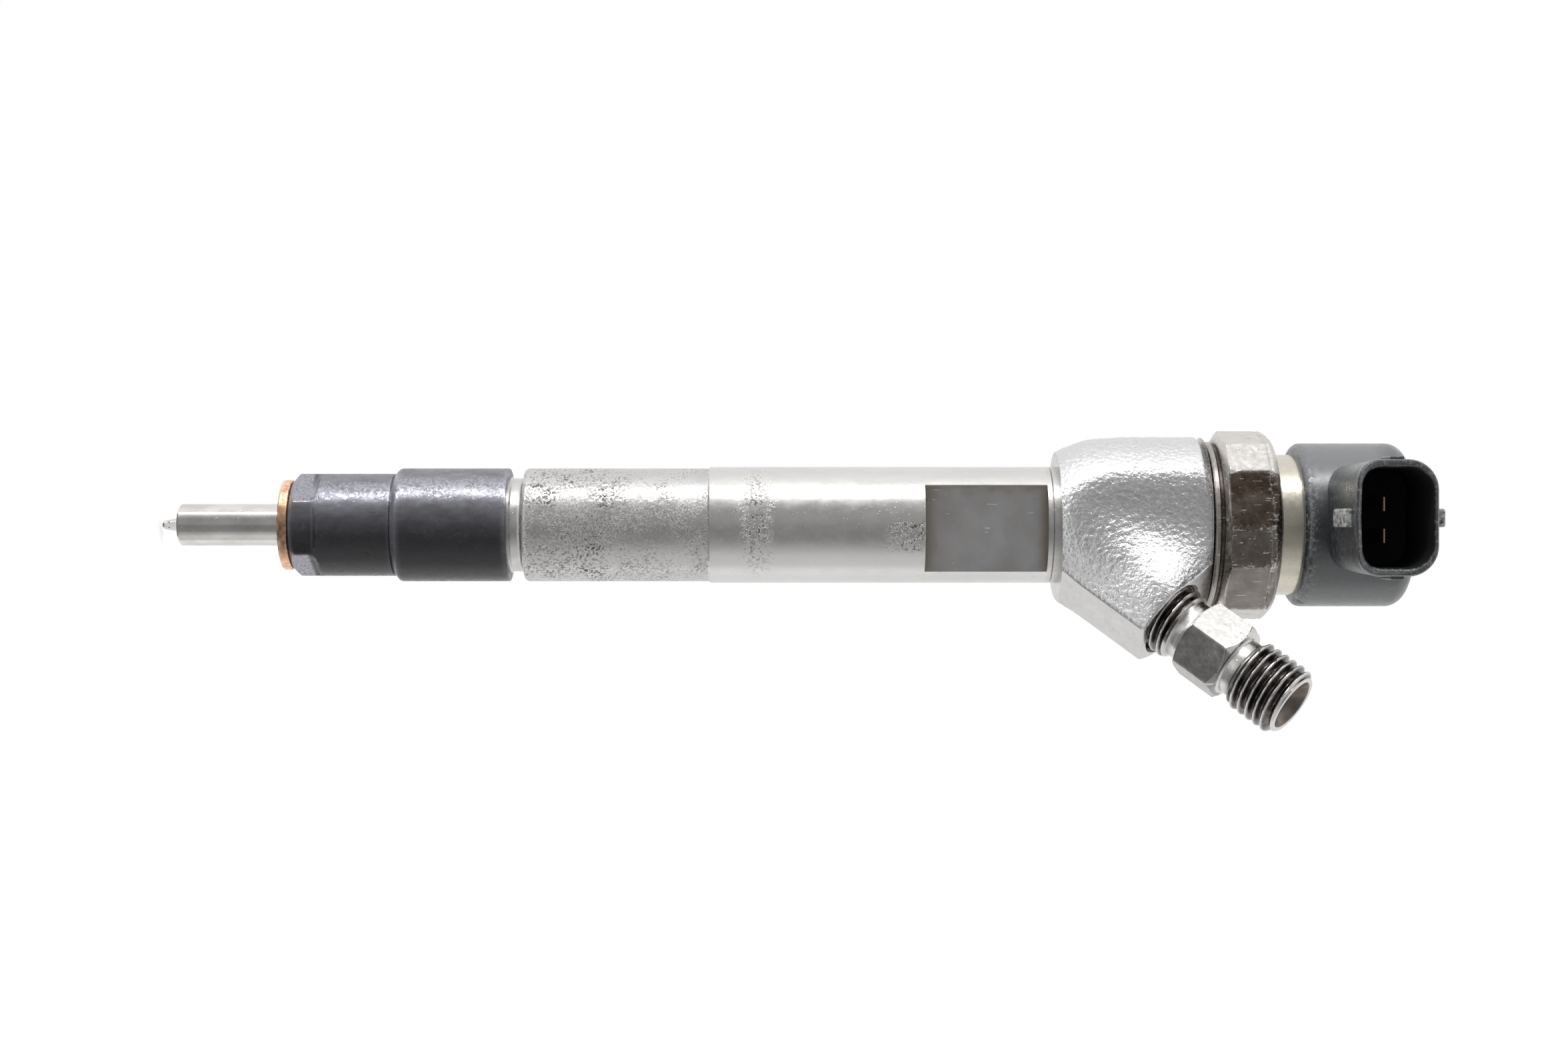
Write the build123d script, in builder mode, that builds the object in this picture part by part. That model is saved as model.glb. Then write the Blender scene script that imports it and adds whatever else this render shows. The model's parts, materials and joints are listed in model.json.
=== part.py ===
from build123d import *
import math
import os

# A common-rail diesel fuel injector, in millimetres.
# The injector's axis is +Z, from the nozzle up to the solenoid, as it stands in a cylinder head.
# The origin is on that axis, in the sealing face under the copper washer.
# The high-pressure inlet leans out towards +X and -Y, and the electrical connector points along -Y.

os.makedirs("parts", exist_ok=True)

# ---- driving dimensions -------------------------------------------------------------------------

# nozzle
tip_z = -20.45
tip_r = 0.8
tip_base_r = 1.25
tip_base_z = -17.4
shaft_r = 3.5
shaft_relief_r = 3.3
collar_r = 7.1
collar_z = 6.6
nozzle_top_z = 24.0
guide_z = 12.0
gallery_r = 2.9
gallery_z = 7.5
nozzle_bore_r = 1.9
seat_z = -14.8
sac_r = 0.4
sac_z = -19.2
spray_hole_r = 0.12
spray_holes = 6
spray_z = -18.9

# needle and what it pushes
needle_r = 2.0
needle_shank_r = 1.4
plunger_r = 2.15
sliding_gap = 0.02

# copper washer
washer_r = 7.5
washer_bore_r = 3.55
washer_t = 1.6

# nozzle retaining nut
nut_r = 8.5
nut_shoulder_r = 9.4
nut_hex_flats = 15.0
nut_hex_z = 6.4
nut_hex_turn = 4.0
nut_step_z = 18.5
nut_end_z = 37.6
body_thread_r = 8.0

# injector body
neck_end_z = 40.2
rough_shank_r = 9.4
ground_shank_r = 9.65
ground_z = 70.6
flats_z = (106.2, 126.25)
flats_distance = 6.47
flats_turn = 5.0
head_z = 128.2
head_end_z = 152.3
head_r = 14.6
spigot_r = 12.5
spigot_end_z = 159.5

# drillings in the body
feed_r = 0.9
feed_offset = 5.2
spring_bore_r = 3.6
spring_bore_z = 48.0
supply_ring_r = 3.9
supply_ring_z = 117.0
valve_seat_z = 134.0
armature_bore_r = 10.0
sleeve_bore_r = 10.55
seal_bore_r = 11.7

# high-pressure inlet, at 45 degrees to the axis
inlet_turn = -40.0
inlet_z = 126.0
boss_length = 28.0
boss_half_width = 7.0
boss_flat = 7.7
boss_flat_half = 3.9
thread_r = 6.0
fitting_end = 52.4
fitting_hex_flats = 12.0
fitting_hex_turn = 24.7
fitting_bore_r = 1.9

# control valve
valve_stem_r = 3.2
valve_flange_r = 6.9
valve_top_z = 140.0
valve_nut_r = 8.0
throttle_r = 0.15
ball_r = 0.67
ball_z = 140.212
guide_flange_z = 147.0
guide_stem_r = 3.2
bolt_r = 1.5
armature_plate_r = 9.0
pole_z = 153.5

# magnet
core_r = 9.9
core_end_z = 165.0
core_bore_r = 3.0
coil_slot = (5.4, 8.2)
sleeve_r = 11.67
sleeve_bore = 9.95
sleeve_end_z = 172.0
sleeve_flange_r = 12.4
sleeve_flange_z = (159.5, 161.5)

# solenoid retaining nut
solenoid_nut_z = 152.6
solenoid_hex_z = 154.3
solenoid_flats = 29.8
solenoid_corner_flats = 30.7
solenoid_nut_turn = -15.9
solenoid_nut_end_z = 164.0
solenoid_nut_bore_r = 11.75

# cap with the electrical connector
cap_r = 13.56
cap_z = 167.4
cap_end_z = 185.8
port_bore_r = 3.9
port_sleeve_r = 5.0
plug_x = -1.1
plug_z = 177.6
plug_reach = 33.0
plug_outer = (18.1, 12.65)
plug_cavity = (15.4, 10.8)
plug_floor = 15.0
lug_ends_z = (169.95, 185.85)
blade = (2.2, 0.6)
blade_spacing = 5.0
blade_tip = 24.0
blade_root = 5.7
blade_x = -0.8
blade_z = 177.4
lead_r = 0.4
lead_y = -6.2

# ---- the inlet's directions ---------------------------------------------------------------------

outward = Vector(math.cos(math.radians(inlet_turn)), math.sin(math.radians(inlet_turn)), 0)
sideways = Vector(-outward.Y, outward.X, 0)
inlet_dir = (outward + Vector(0, 0, 1)).normalized()
inlet_foot = Vector(0, 0, inlet_z)
inlet_axis = Axis(inlet_foot, inlet_dir)
inlet_section = Plane(origin=inlet_foot, x_dir=sideways, z_dir=sideways.cross(inlet_dir))


def inlet_plane(distance):
    """A plane square to the inlet's axis, at a distance along it, with +Y away from its flat."""
    return Plane(origin=inlet_foot + inlet_dir * distance, x_dir=sideways, z_dir=inlet_dir)


# ---- ways of making a shape ---------------------------------------------------------------------


def turned(*outline, mode=Mode.ADD):
    """Turns an outline of (radius, z) corners about the injector's axis."""
    with BuildSketch(Plane.XZ) as section:
        with BuildLine():
            Polyline(*outline, close=True)
        make_face()
    revolve(section.sketch, axis=Axis.Z, mode=mode)


def ring(inner, outer, low, high, mode=Mode.ADD):
    """A plain ring, or a disc or bore where the inner radius is 0, between two heights."""
    turned((inner, low), (outer, low), (outer, high), (inner, high), mode=mode)


def turned_on_inlet(*outline, mode=Mode.ADD):
    """Turns an outline of (radius, distance) corners about the inlet's axis."""
    with BuildSketch(inlet_section) as section:
        with BuildLine():
            Polyline(*outline, close=True)
        make_face()
    revolve(section.sketch, axis=inlet_axis, mode=mode)


def rod(start, end, radius, mode=Mode.ADD):
    """A round rod, or a drilling, between two points."""
    run = Vector(end) - Vector(start)
    with BuildSketch(Plane(origin=start, z_dir=run.normalized())) as section:
        Circle(radius)
    extrude(section.sketch, amount=run.length, mode=mode)


def coil(mean_r, wire, low, high, turns):
    """A compression spring of round wire that fills the height between its two seats."""
    rise = high - low - wire
    with BuildLine() as path:
        Helix(pitch=rise / turns, height=rise, radius=mean_r, center=(0, 0, low + wire / 2))
    with BuildSketch(Plane(origin=path.line @ 0, z_dir=path.line % 0)) as section:
        Circle(wire / 2)
    sweep(section.sketch, path=path.line, is_frenet=True)


def finish_part(part, name):
    """Names a finished piece and writes it to its own STEP file."""
    part.label = name
    export_step(part, f"parts/{name}.step")


# ---- nozzle -------------------------------------------------------------------------------------

feed_foot = outward * feed_offset
feed_x = feed_foot.X
feed_y = feed_foot.Y

with BuildPart() as nozzle_body:
    with BuildSketch(Plane.XZ) as nozzle_half:
        with BuildLine():
            Line((0, tip_z), (0, nozzle_top_z))
            Line((0, nozzle_top_z), (collar_r, nozzle_top_z))
            Line((collar_r, nozzle_top_z), (collar_r, collar_z))
            Line((collar_r, collar_z), (shaft_relief_r, collar_z))
            Line((shaft_relief_r, collar_z), (shaft_relief_r, 0))
            Line((shaft_relief_r, 0), (shaft_r, 0))
            Line((shaft_r, 0), (shaft_r, tip_base_z + 0.35))
            Line((shaft_r, tip_base_z + 0.35), (shaft_r - 0.35, tip_base_z))
            Line((shaft_r - 0.35, tip_base_z), (tip_base_r, tip_base_z))
            Line((tip_base_r, tip_base_z), (tip_r, tip_z + tip_r))
            CenterArc((0, tip_z + tip_r), tip_r, 0, -90)
        make_face()
    revolve(axis=Axis.Z)
    seat_drop = (nozzle_bore_r - sac_r) * math.sqrt(3)
    turned(
        (0, sac_z),
        (sac_r, sac_z),
        (sac_r, seat_z - seat_drop),
        (nozzle_bore_r, seat_z),
        (nozzle_bore_r, gallery_z),
        (gallery_r, gallery_z + 1.0),
        (gallery_r, guide_z - 1.0),
        (needle_r + sliding_gap, guide_z),
        (needle_r + sliding_gap, nozzle_top_z),
        (0, nozzle_top_z),
        mode=Mode.SUBTRACT,
    )
    rod((feed_x, feed_y, nozzle_top_z), tuple(outward * 2.4 + Vector(0, 0, 9.6)), 0.8, Mode.SUBTRACT)
    for hole in range(spray_holes):
        turn = math.radians(360 / spray_holes * hole)
        spray = Vector(math.cos(turn), math.sin(turn), -0.27) * 2.0
        rod((0, 0, spray_z), tuple(Vector(0, 0, spray_z) + spray), spray_hole_r, Mode.SUBTRACT)
    for side in (-1, 1):
        pin = sideways * 5.4 * side
        rod((pin.X, pin.Y, 22.0), (pin.X, pin.Y, nozzle_top_z), 0.75, Mode.SUBTRACT)
finish_part(nozzle_body.part, "nozzle_body")

with BuildPart() as nozzle_needle:
    cone_z = seat_z + sliding_gap
    turned(
        (0, cone_z - (nozzle_bore_r - 0.3) * math.sqrt(3)),
        (0.3, cone_z - (nozzle_bore_r - 0.3) * math.sqrt(3)),
        (needle_shank_r, cone_z - (nozzle_bore_r - needle_shank_r) * math.sqrt(3)),
        (needle_shank_r, 11.2),
        (needle_r, 12.2),
        (needle_r, nozzle_top_z),
        (1.5, nozzle_top_z),
        (1.5, 25.2),
        (0, 25.2),
    )
finish_part(nozzle_needle.part, "nozzle_needle")

with BuildPart() as nozzle_dowel_pins:
    for side in (-1, 1):
        pin = sideways * 5.4 * side
        rod((pin.X, pin.Y, 22.0), (pin.X, pin.Y, 26.0), 0.75)
finish_part(nozzle_dowel_pins.part, "nozzle_dowel_pins")

with BuildPart() as combustion_seal_washer:
    ring(washer_bore_r, washer_r, 0, washer_t)
    fillet(combustion_seal_washer.edges().filter_by(GeomType.CIRCLE).sort_by(SortBy.RADIUS)[-2:], 0.3)
finish_part(combustion_seal_washer.part, "combustion_seal_washer")

with BuildPart() as nozzle_retaining_nut:
    turned(
        (shaft_r + 0.1, washer_t),
        (7.1, washer_t),
        (nut_r, washer_t + 1.2),
        (nut_r, nut_step_z),
        (nut_shoulder_r, nut_step_z + 1.0),
        (nut_shoulder_r, nut_end_z - 0.4),
        (nut_shoulder_r - 0.4, nut_end_z),
        (body_thread_r, nut_end_z),
        (body_thread_r, 26.5),
        (collar_r + 0.1, 26.5),
        (collar_r + 0.1, collar_z),
        (shaft_r + 0.1, collar_z),
    )
    with BuildSketch(Plane.XY.offset(washer_t)):
        Circle(nut_r + 1)
        RegularPolygon(nut_hex_flats / 2, 6, major_radius=False, rotation=nut_hex_turn, mode=Mode.SUBTRACT)
    extrude(amount=nut_hex_z - washer_t, mode=Mode.SUBTRACT)
finish_part(nozzle_retaining_nut.part, "nozzle_retaining_nut")

# ---- what the needle pushes, inside the body ----------------------------------------------------

with BuildPart() as pressure_pin:
    turned((0, 25.2), (3.2, 25.2), (3.2, 27.2), (1.9, 27.2), (1.9, 44.0), (0, 44.0))
finish_part(pressure_pin.part, "pressure_pin")

with BuildPart() as nozzle_spring:
    coil(mean_r=2.85, wire=1.1, low=27.2, high=46.0, turns=8)
finish_part(nozzle_spring.part, "nozzle_spring")

with BuildPart() as nozzle_spring_shim:
    ring(2.4, spring_bore_r - 0.1, 46.0, spring_bore_z)
finish_part(nozzle_spring_shim.part, "nozzle_spring_shim")

with BuildPart() as control_plunger:
    turned(
        (0, 44.0),
        (1.9, 44.0),
        (1.9, 52.0),
        (plunger_r, 52.5),
        (plunger_r, 134.2),
        (1.7, 134.7),
        (0, 134.7),
    )
finish_part(control_plunger.part, "control_plunger")

# ---- injector body ------------------------------------------------------------------------------

with BuildPart() as inlet_boss:
    with BuildSketch(inlet_plane(0)):
        with BuildLine():
            inner_side = Line((-5.2, 11.0), (-boss_half_width, 1.0))
            inner_cheek = ThreePointArc(inner_side @ 1, (-6.35, -4.2), (-boss_flat_half, -boss_flat))
            flat_line = Line(inner_cheek @ 1, (boss_flat_half, -boss_flat))
            outer_cheek = ThreePointArc(flat_line @ 1, (6.35, -4.2), (boss_half_width, 1.0))
            outer_side = Line(outer_cheek @ 1, (5.2, 11.0))
            Line(outer_side @ 1, inner_side @ 0)
        make_face()
    extrude(amount=boss_length)
    with BuildSketch(Plane.XY.offset(head_z)):
        Circle(4 * head_r)
    extrude(amount=head_end_z - head_z, mode=Mode.INTERSECT)

with BuildPart() as injector_body:
    with BuildSketch(Plane.XZ) as head_half:
        with BuildLine():
            Line((0, head_z), (12.1, head_z))
            Spline((12.1, head_z), (13.7, 131.8), (head_r, 139.0), tangents=[(0.35, 1), (0, 1)])
            Line((head_r, 139.0), (head_r, 151.1))
            Line((head_r, 151.1), (13.3, head_end_z))
            Line((13.3, head_end_z), (0, head_end_z))
            Line((0, head_end_z), (0, head_z))
        make_face()
    revolve(axis=Axis.Z)
    add(inlet_boss.part)
    turned(
        (0, nozzle_top_z),
        (collar_r, nozzle_top_z),
        (collar_r, 26.5),
        (body_thread_r, 26.5),
        (body_thread_r, neck_end_z),
        (rough_shank_r - 0.3, neck_end_z),
        (rough_shank_r, neck_end_z + 0.4),
        (rough_shank_r, ground_z),
        (ground_shank_r, ground_z + 0.25),
        (ground_shank_r, head_z + 1),
        (0, head_z + 1),
    )
    ring(0, spigot_r, head_end_z - 1, spigot_end_z)
    for side in (flats_turn - 90, flats_turn + 90):
        turn = math.radians(side)
        flat_normal = Vector(math.cos(turn), math.sin(turn), 0)
        flat_middle = flat_normal * flats_distance + Vector(0, 0, sum(flats_z) / 2)
        with BuildSketch(Plane(origin=flat_middle, x_dir=(0, 0, 1), z_dir=flat_normal)):
            Rectangle(flats_z[1] - flats_z[0], 4 * ground_shank_r)
        extrude(amount=ground_shank_r, mode=Mode.SUBTRACT)
    turned(
        (0, nozzle_top_z),
        (spring_bore_r, nozzle_top_z),
        (spring_bore_r, spring_bore_z),
        (plunger_r + sliding_gap, spring_bore_z),
        (plunger_r + sliding_gap, supply_ring_z),
        (supply_ring_r, supply_ring_z + 1.0),
        (supply_ring_r, 132.6),
        (5.0, 132.6),
        (5.0, valve_seat_z),
        (valve_flange_r + 0.05, valve_seat_z),
        (valve_flange_r + 0.05, valve_top_z),
        (valve_nut_r, valve_top_z),
        (valve_nut_r, guide_flange_z),
        (armature_bore_r, guide_flange_z),
        (armature_bore_r, 154.0),
        (sleeve_bore_r, 154.0),
        (sleeve_bore_r, 157.3),
        (seal_bore_r, 157.3),
        (seal_bore_r, spigot_end_z),
        (0, spigot_end_z),
        mode=Mode.SUBTRACT,
    )
    rod((feed_x, feed_y, nozzle_top_z), (feed_x, feed_y, inlet_z + feed_offset), feed_r, Mode.SUBTRACT)
    turned_on_inlet(
        (0, 4.0),
        (1.3, 4.0),
        (1.3, 15.5),
        (2.4, 17.5),
        (4.4, 17.5),
        (4.4, 19.5),
        (thread_r, 19.5),
        (thread_r, boss_length - 0.5),
        (thread_r + 0.5, boss_length),
        (0, boss_length),
        mode=Mode.SUBTRACT,
    )
    for side in (-1, 1):
        pin = sideways * 5.4 * side
        rod((pin.X, pin.Y, nozzle_top_z), (pin.X, pin.Y, 26.0), 0.75, Mode.SUBTRACT)
finish_part(injector_body.part, "injector_body")

# ---- high-pressure inlet ------------------------------------------------------------------------

with BuildPart() as inlet_fitting:
    with BuildSketch(inlet_plane(33.0)):
        RegularPolygon(fitting_hex_flats / 2, 6, major_radius=False, rotation=fitting_hex_turn)
    extrude(amount=8.2)
    turned_on_inlet(
        (0, 33.0), (6.3, 33.0), (7.05, 33.5), (7.05, 40.2), (5.8, 41.2), (0, 41.2), mode=Mode.INTERSECT
    )
    turned_on_inlet(
        (0, 18.3),
        (4.3, 18.3),
        (4.3, 20.0),
        (thread_r - 0.5, 20.0),
        (thread_r, 20.5),
        (thread_r, 30.3),
        (5.05, 31.0),
        (5.05, 33.2),
        (0, 33.2),
    )
    turned_on_inlet(
        (0, 41.0),
        (4.85, 41.0),
        (4.85, 43.3),
        (thread_r, 44.0),
        (thread_r, fitting_end - 1.1),
        (thread_r - 1.1, fitting_end),
        (0, fitting_end),
    )
    turned_on_inlet(
        (0, 18.3),
        (1.2, 18.3),
        (1.2, 28.0),
        (fitting_bore_r, 28.0),
        (fitting_bore_r, 48.24),
        (4.3, fitting_end),
        (0, fitting_end),
        mode=Mode.SUBTRACT,
    )
finish_part(inlet_fitting.part, "inlet_fitting")

with BuildPart() as inlet_seal_ring:
    turned_on_inlet((2.4, 17.5), (4.3, 17.5), (4.3, 18.3), (2.4, 18.3))
finish_part(inlet_seal_ring.part, "inlet_seal_ring")

with BuildPart() as edge_filter:
    turned_on_inlet((0, 29.0), (fitting_bore_r, 29.0), (fitting_bore_r, 46.0), (0, 46.0))
    for flute in range(4):
        with BuildSketch(inlet_plane(29.0 + 1.5 * (flute % 2))) as groove:
            with PolarLocations(fitting_bore_r, 1, start_angle=90 * flute):
                Circle(0.4)
        extrude(groove.sketch, amount=15.5, mode=Mode.SUBTRACT)
finish_part(edge_filter.part, "edge_filter")

# ---- control valve ------------------------------------------------------------------------------

with BuildPart() as valve_piece:
    turned(
        (0, 122.0),
        (valve_stem_r, 122.0),
        (valve_stem_r, valve_seat_z),
        (valve_flange_r, valve_seat_z),
        (valve_flange_r, valve_top_z),
        (0, valve_top_z),
    )
    turned(
        (0, 122.0),
        (plunger_r + sliding_gap, 122.0),
        (plunger_r + sliding_gap, 135.2),
        (throttle_r, 137.0),
        (throttle_r, valve_top_z - 0.6),
        (0.75, valve_top_z),
        (0, valve_top_z),
        mode=Mode.SUBTRACT,
    )
    rod((0, 0, 133.6), (0, -4.0, 131.0), throttle_r, Mode.SUBTRACT)
finish_part(valve_piece.part, "valve_piece")

with BuildPart() as valve_piece_seal_ring:
    ring(valve_stem_r + 0.1, 4.95, 132.6, valve_seat_z)
finish_part(valve_piece_seal_ring.part, "valve_piece_seal_ring")

with BuildPart() as valve_clamping_nut:
    ring(3.6, valve_nut_r, valve_top_z, guide_flange_z - 0.5)
    with BuildSketch(Plane.XY.offset(guide_flange_z - 0.5)) as spanner_holes:
        with PolarLocations(5.8, 4):
            Circle(0.9)
    extrude(spanner_holes.sketch, amount=-3.0, mode=Mode.SUBTRACT)
finish_part(valve_clamping_nut.part, "valve_clamping_nut")

with BuildPart() as valve_ball:
    with Locations((0, 0, ball_z)):
        Sphere(ball_r)
finish_part(valve_ball.part, "valve_ball")

with BuildPart() as ball_holder:
    turned((0, 140.3), (1.1, 140.3), (1.6, 140.8), (1.6, 142.2), (0, 142.2))
    with Locations((0, 0, ball_z)):
        Sphere(ball_r + 0.02, mode=Mode.SUBTRACT)
finish_part(ball_holder.part, "ball_holder")

with BuildPart() as armature_guide:
    turned(
        (bolt_r + sliding_gap, 143.0),
        (guide_stem_r, 143.0),
        (guide_stem_r, guide_flange_z),
        (armature_bore_r - 0.05, guide_flange_z),
        (armature_bore_r - 0.05, 149.0),
        (bolt_r + sliding_gap, 149.0),
    )
    with BuildSketch(Plane.XY.offset(guide_flange_z)) as oil_holes:
        with PolarLocations(6.2, 4, start_angle=45):
            Circle(1.0)
    extrude(oil_holes.sketch, amount=2.0, mode=Mode.SUBTRACT)
finish_part(armature_guide.part, "armature_guide")

with BuildPart() as armature_bolt:
    turned(
        (0, 142.2),
        (bolt_r, 142.2),
        (bolt_r, 153.4),
        (1.2, 153.4),
        (1.2, 154.0),
        (2.4, 154.0),
        (2.4, 155.0),
        (1.3, 155.0),
        (1.3, 156.5),
        (0, 156.5),
    )
finish_part(armature_bolt.part, "armature_bolt")

with BuildPart() as armature_lock_ring:
    ring(1.2, 2.6, 153.4, 154.0)
    with BuildSketch(Plane.XY.offset(153.4)) as mouth:
        with Locations((2.0, 0)):
            Rectangle(4.0, 2.0)
    extrude(mouth.sketch, amount=0.6, mode=Mode.SUBTRACT)
finish_part(armature_lock_ring.part, "armature_lock_ring")

with BuildPart() as armature_plate:
    plate_bore_r = bolt_r + sliding_gap
    turned(
        (plate_bore_r, 151.4),
        (2.8, 151.4),
        (2.8, 152.2),
        (armature_plate_r, 152.2),
        (armature_plate_r, 153.4),
        (plate_bore_r, 153.4),
    )
    with BuildSketch(Plane.XY.offset(152.2)) as oil_slots:
        with PolarLocations(6.0, 6):
            SlotOverall(4.0, 1.2)
    extrude(oil_slots.sketch, amount=1.2, mode=Mode.SUBTRACT)
finish_part(armature_plate.part, "armature_plate")

with BuildPart() as armature_spring:
    coil(mean_r=2.2, wire=0.35, low=149.0, high=151.4, turns=3)
finish_part(armature_spring.part, "armature_spring")

with BuildPart() as air_gap_ring:
    ring(9.3, armature_bore_r - 0.05, 149.0, pole_z)
finish_part(air_gap_ring.part, "air_gap_ring")

# ---- electromagnet ------------------------------------------------------------------------------

lead_xs = [blade_x - blade_spacing / 2, blade_x + blade_spacing / 2]

with BuildPart() as magnet_core:
    ring(core_bore_r, core_r, pole_z, core_end_z)
    ring(coil_slot[0], coil_slot[1], pole_z, core_end_z - 1.5, mode=Mode.SUBTRACT)
    for x in lead_xs:
        rod((x, lead_y, core_end_z - 1.5), (x, lead_y, core_end_z), lead_r + 0.3, Mode.SUBTRACT)
finish_part(magnet_core.part, "magnet_core")

with BuildPart() as coil_bobbin:
    turned(
        (5.5, 153.8),
        (8.1, 153.8),
        (8.1, 154.4),
        (6.1, 154.4),
        (6.1, 162.6),
        (8.1, 162.6),
        (8.1, 163.2),
        (5.5, 163.2),
    )
finish_part(coil_bobbin.part, "coil_bobbin")

with BuildPart() as coil_winding:
    ring(6.1, 8.0, 154.4, 162.6)
finish_part(coil_winding.part, "coil_winding")

with BuildPart() as coil_leads:
    for x in lead_xs:
        rod((x, lead_y, 163.2), (x, lead_y, blade_z - blade[1] / 2), lead_r)
finish_part(coil_leads.part, "coil_leads")

with BuildPart() as valve_spring:
    coil(mean_r=2.0, wire=0.8, low=155.0, high=164.0, turns=6)
finish_part(valve_spring.part, "valve_spring")

with BuildPart() as valve_spring_shim:
    ring(1.6, core_bore_r - 0.05, 164.0, 164.8)
finish_part(valve_spring_shim.part, "valve_spring_shim")

with BuildPart() as magnet_sleeve:
    turned(
        (sleeve_bore, 154.0),
        (sleeve_bore_r - 0.05, 154.0),
        (sleeve_bore_r - 0.05, sleeve_flange_z[0]),
        (sleeve_flange_r, sleeve_flange_z[0]),
        (sleeve_flange_r, sleeve_flange_z[1]),
        (sleeve_r, sleeve_flange_z[1]),
        (sleeve_r, sleeve_end_z),
        (sleeve_bore, sleeve_end_z),
    )
finish_part(magnet_sleeve.part, "magnet_sleeve")

with BuildPart() as head_o_ring:
    with BuildSketch(Plane.XZ):
        with Locations(((seal_bore_r + sleeve_bore_r - 0.05) / 2, 158.4)):
            Circle(0.55)
    revolve(axis=Axis.Z)
finish_part(head_o_ring.part, "head_o_ring")

with BuildPart() as solenoid_retaining_nut:
    with BuildSketch(Plane.XY.offset(solenoid_hex_z)):
        RegularPolygon(solenoid_flats / 2, 6, major_radius=False, rotation=solenoid_nut_turn)
        RegularPolygon(
            solenoid_corner_flats / 2,
            6,
            major_radius=False,
            rotation=solenoid_nut_turn + 30,
            mode=Mode.INTERSECT,
        )
    extrude(amount=solenoid_nut_end_z - solenoid_hex_z)
    turned(
        (0, solenoid_hex_z),
        (14.2, solenoid_hex_z),
        (15.9, solenoid_hex_z + 1.0),
        (15.9, 162.2),
        (14.4, solenoid_nut_end_z - 0.7),
        (12.3, solenoid_nut_end_z),
        (0, solenoid_nut_end_z),
        mode=Mode.INTERSECT,
    )
    turned(
        (0, solenoid_nut_z),
        (13.4, solenoid_nut_z),
        (13.8, 153.0),
        (13.8, 153.7),
        (13.4, 154.0),
        (13.4, solenoid_hex_z + 0.5),
        (0, solenoid_hex_z + 0.5),
    )
    ring(0, spigot_r, solenoid_nut_z, sleeve_flange_z[1], mode=Mode.SUBTRACT)
    ring(0, solenoid_nut_bore_r, sleeve_flange_z[1], solenoid_nut_end_z, mode=Mode.SUBTRACT)
finish_part(solenoid_retaining_nut.part, "solenoid_retaining_nut")

# ---- cap, connector and return port -------------------------------------------------------------

with BuildPart() as connector_housing:
    with BuildSketch(Plane.XY.offset(cap_z)):
        Circle(cap_r)
    extrude(amount=cap_end_z - cap_z)
    fillet(connector_housing.edges().sort_by(Axis.Z)[-1], 3.0)
    chamfer(connector_housing.edges().group_by(Axis.Z)[0], 1.4)
    with BuildSketch(Plane(origin=(plug_x, 0, plug_z), x_dir=(1, 0, 0), z_dir=(0, -1, 0))):
        RectangleRounded(plug_outer[0], plug_outer[1], 4.2)
    extrude(amount=plug_reach)
    for side, lug_end in zip((-1, 1), lug_ends_z):
        lug_foot = (plug_x, -25.0, lug_end - side * 2.2)
        with BuildSketch(Plane(origin=lug_foot, x_dir=(1, 0, 0), z_dir=(0, 0, side))):
            Rectangle(2.9, 8.0)
        extrude(amount=2.2, taper=8)
    for side in (-1, 1):
        rib_plane = Plane(
            origin=(plug_x + side * (plug_outer[0] / 2 - 0.3), -28.0, plug_z),
            x_dir=(0, 0, 1),
            z_dir=(side, 0, 0),
        )
        with BuildSketch(rib_plane):
            Rectangle(2.2, 8.0)
        extrude(amount=0.8)
    with BuildSketch(Plane(origin=(plug_x, -plug_floor, plug_z), x_dir=(1, 0, 0), z_dir=(0, -1, 0))):
        RectangleRounded(plug_cavity[0], plug_cavity[1], 3.0)
    extrude(amount=plug_reach, mode=Mode.SUBTRACT)
    ring(0, sleeve_bore, core_end_z, cap_z + 2)
    ring(sleeve_bore, sleeve_r, cap_z, sleeve_end_z, mode=Mode.SUBTRACT)
    ring(0, core_bore_r, core_end_z, sleeve_end_z, mode=Mode.SUBTRACT)
    ring(0, port_sleeve_r, sleeve_end_z, cap_end_z, mode=Mode.SUBTRACT)
    for x in lead_xs:
        with BuildSketch(Plane(origin=(x, -blade_root, blade_z), x_dir=(1, 0, 0), z_dir=(0, -1, 0))):
            Rectangle(*blade)
        extrude(amount=plug_floor - blade_root, mode=Mode.SUBTRACT)
        rod((x, lead_y, core_end_z), (x, lead_y, blade_z), lead_r, Mode.SUBTRACT)
finish_part(connector_housing.part, "connector_housing")

with BuildPart() as connector_terminals:
    for x in lead_xs:
        with BuildSketch(Plane(origin=(x, -blade_root, blade_z), x_dir=(1, 0, 0), z_dir=(0, -1, 0))):
            Rectangle(*blade)
        extrude(amount=blade_tip - blade_root)
    tips = connector_terminals.edges().filter_by(Axis.X).group_by(Axis.Y)[0]
    chamfer(tips, 0.2)
finish_part(connector_terminals.part, "connector_terminals")

with BuildPart() as return_port_sleeve:
    turned(
        (1.6, 164.8),
        (core_bore_r, 164.8),
        (core_bore_r, sleeve_end_z),
        (port_sleeve_r, sleeve_end_z),
        (port_sleeve_r, cap_end_z),
        (port_bore_r + 0.4, cap_end_z),
        (port_bore_r, cap_end_z - 0.4),
        (port_bore_r, sleeve_end_z + 1.5),
        (1.6, sleeve_end_z + 1.5),
    )
finish_part(return_port_sleeve.part, "return_port_sleeve")
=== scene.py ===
import json
import math

import bmesh
import bpy
import numpy as np
from mathutils import Matrix, Vector


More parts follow.
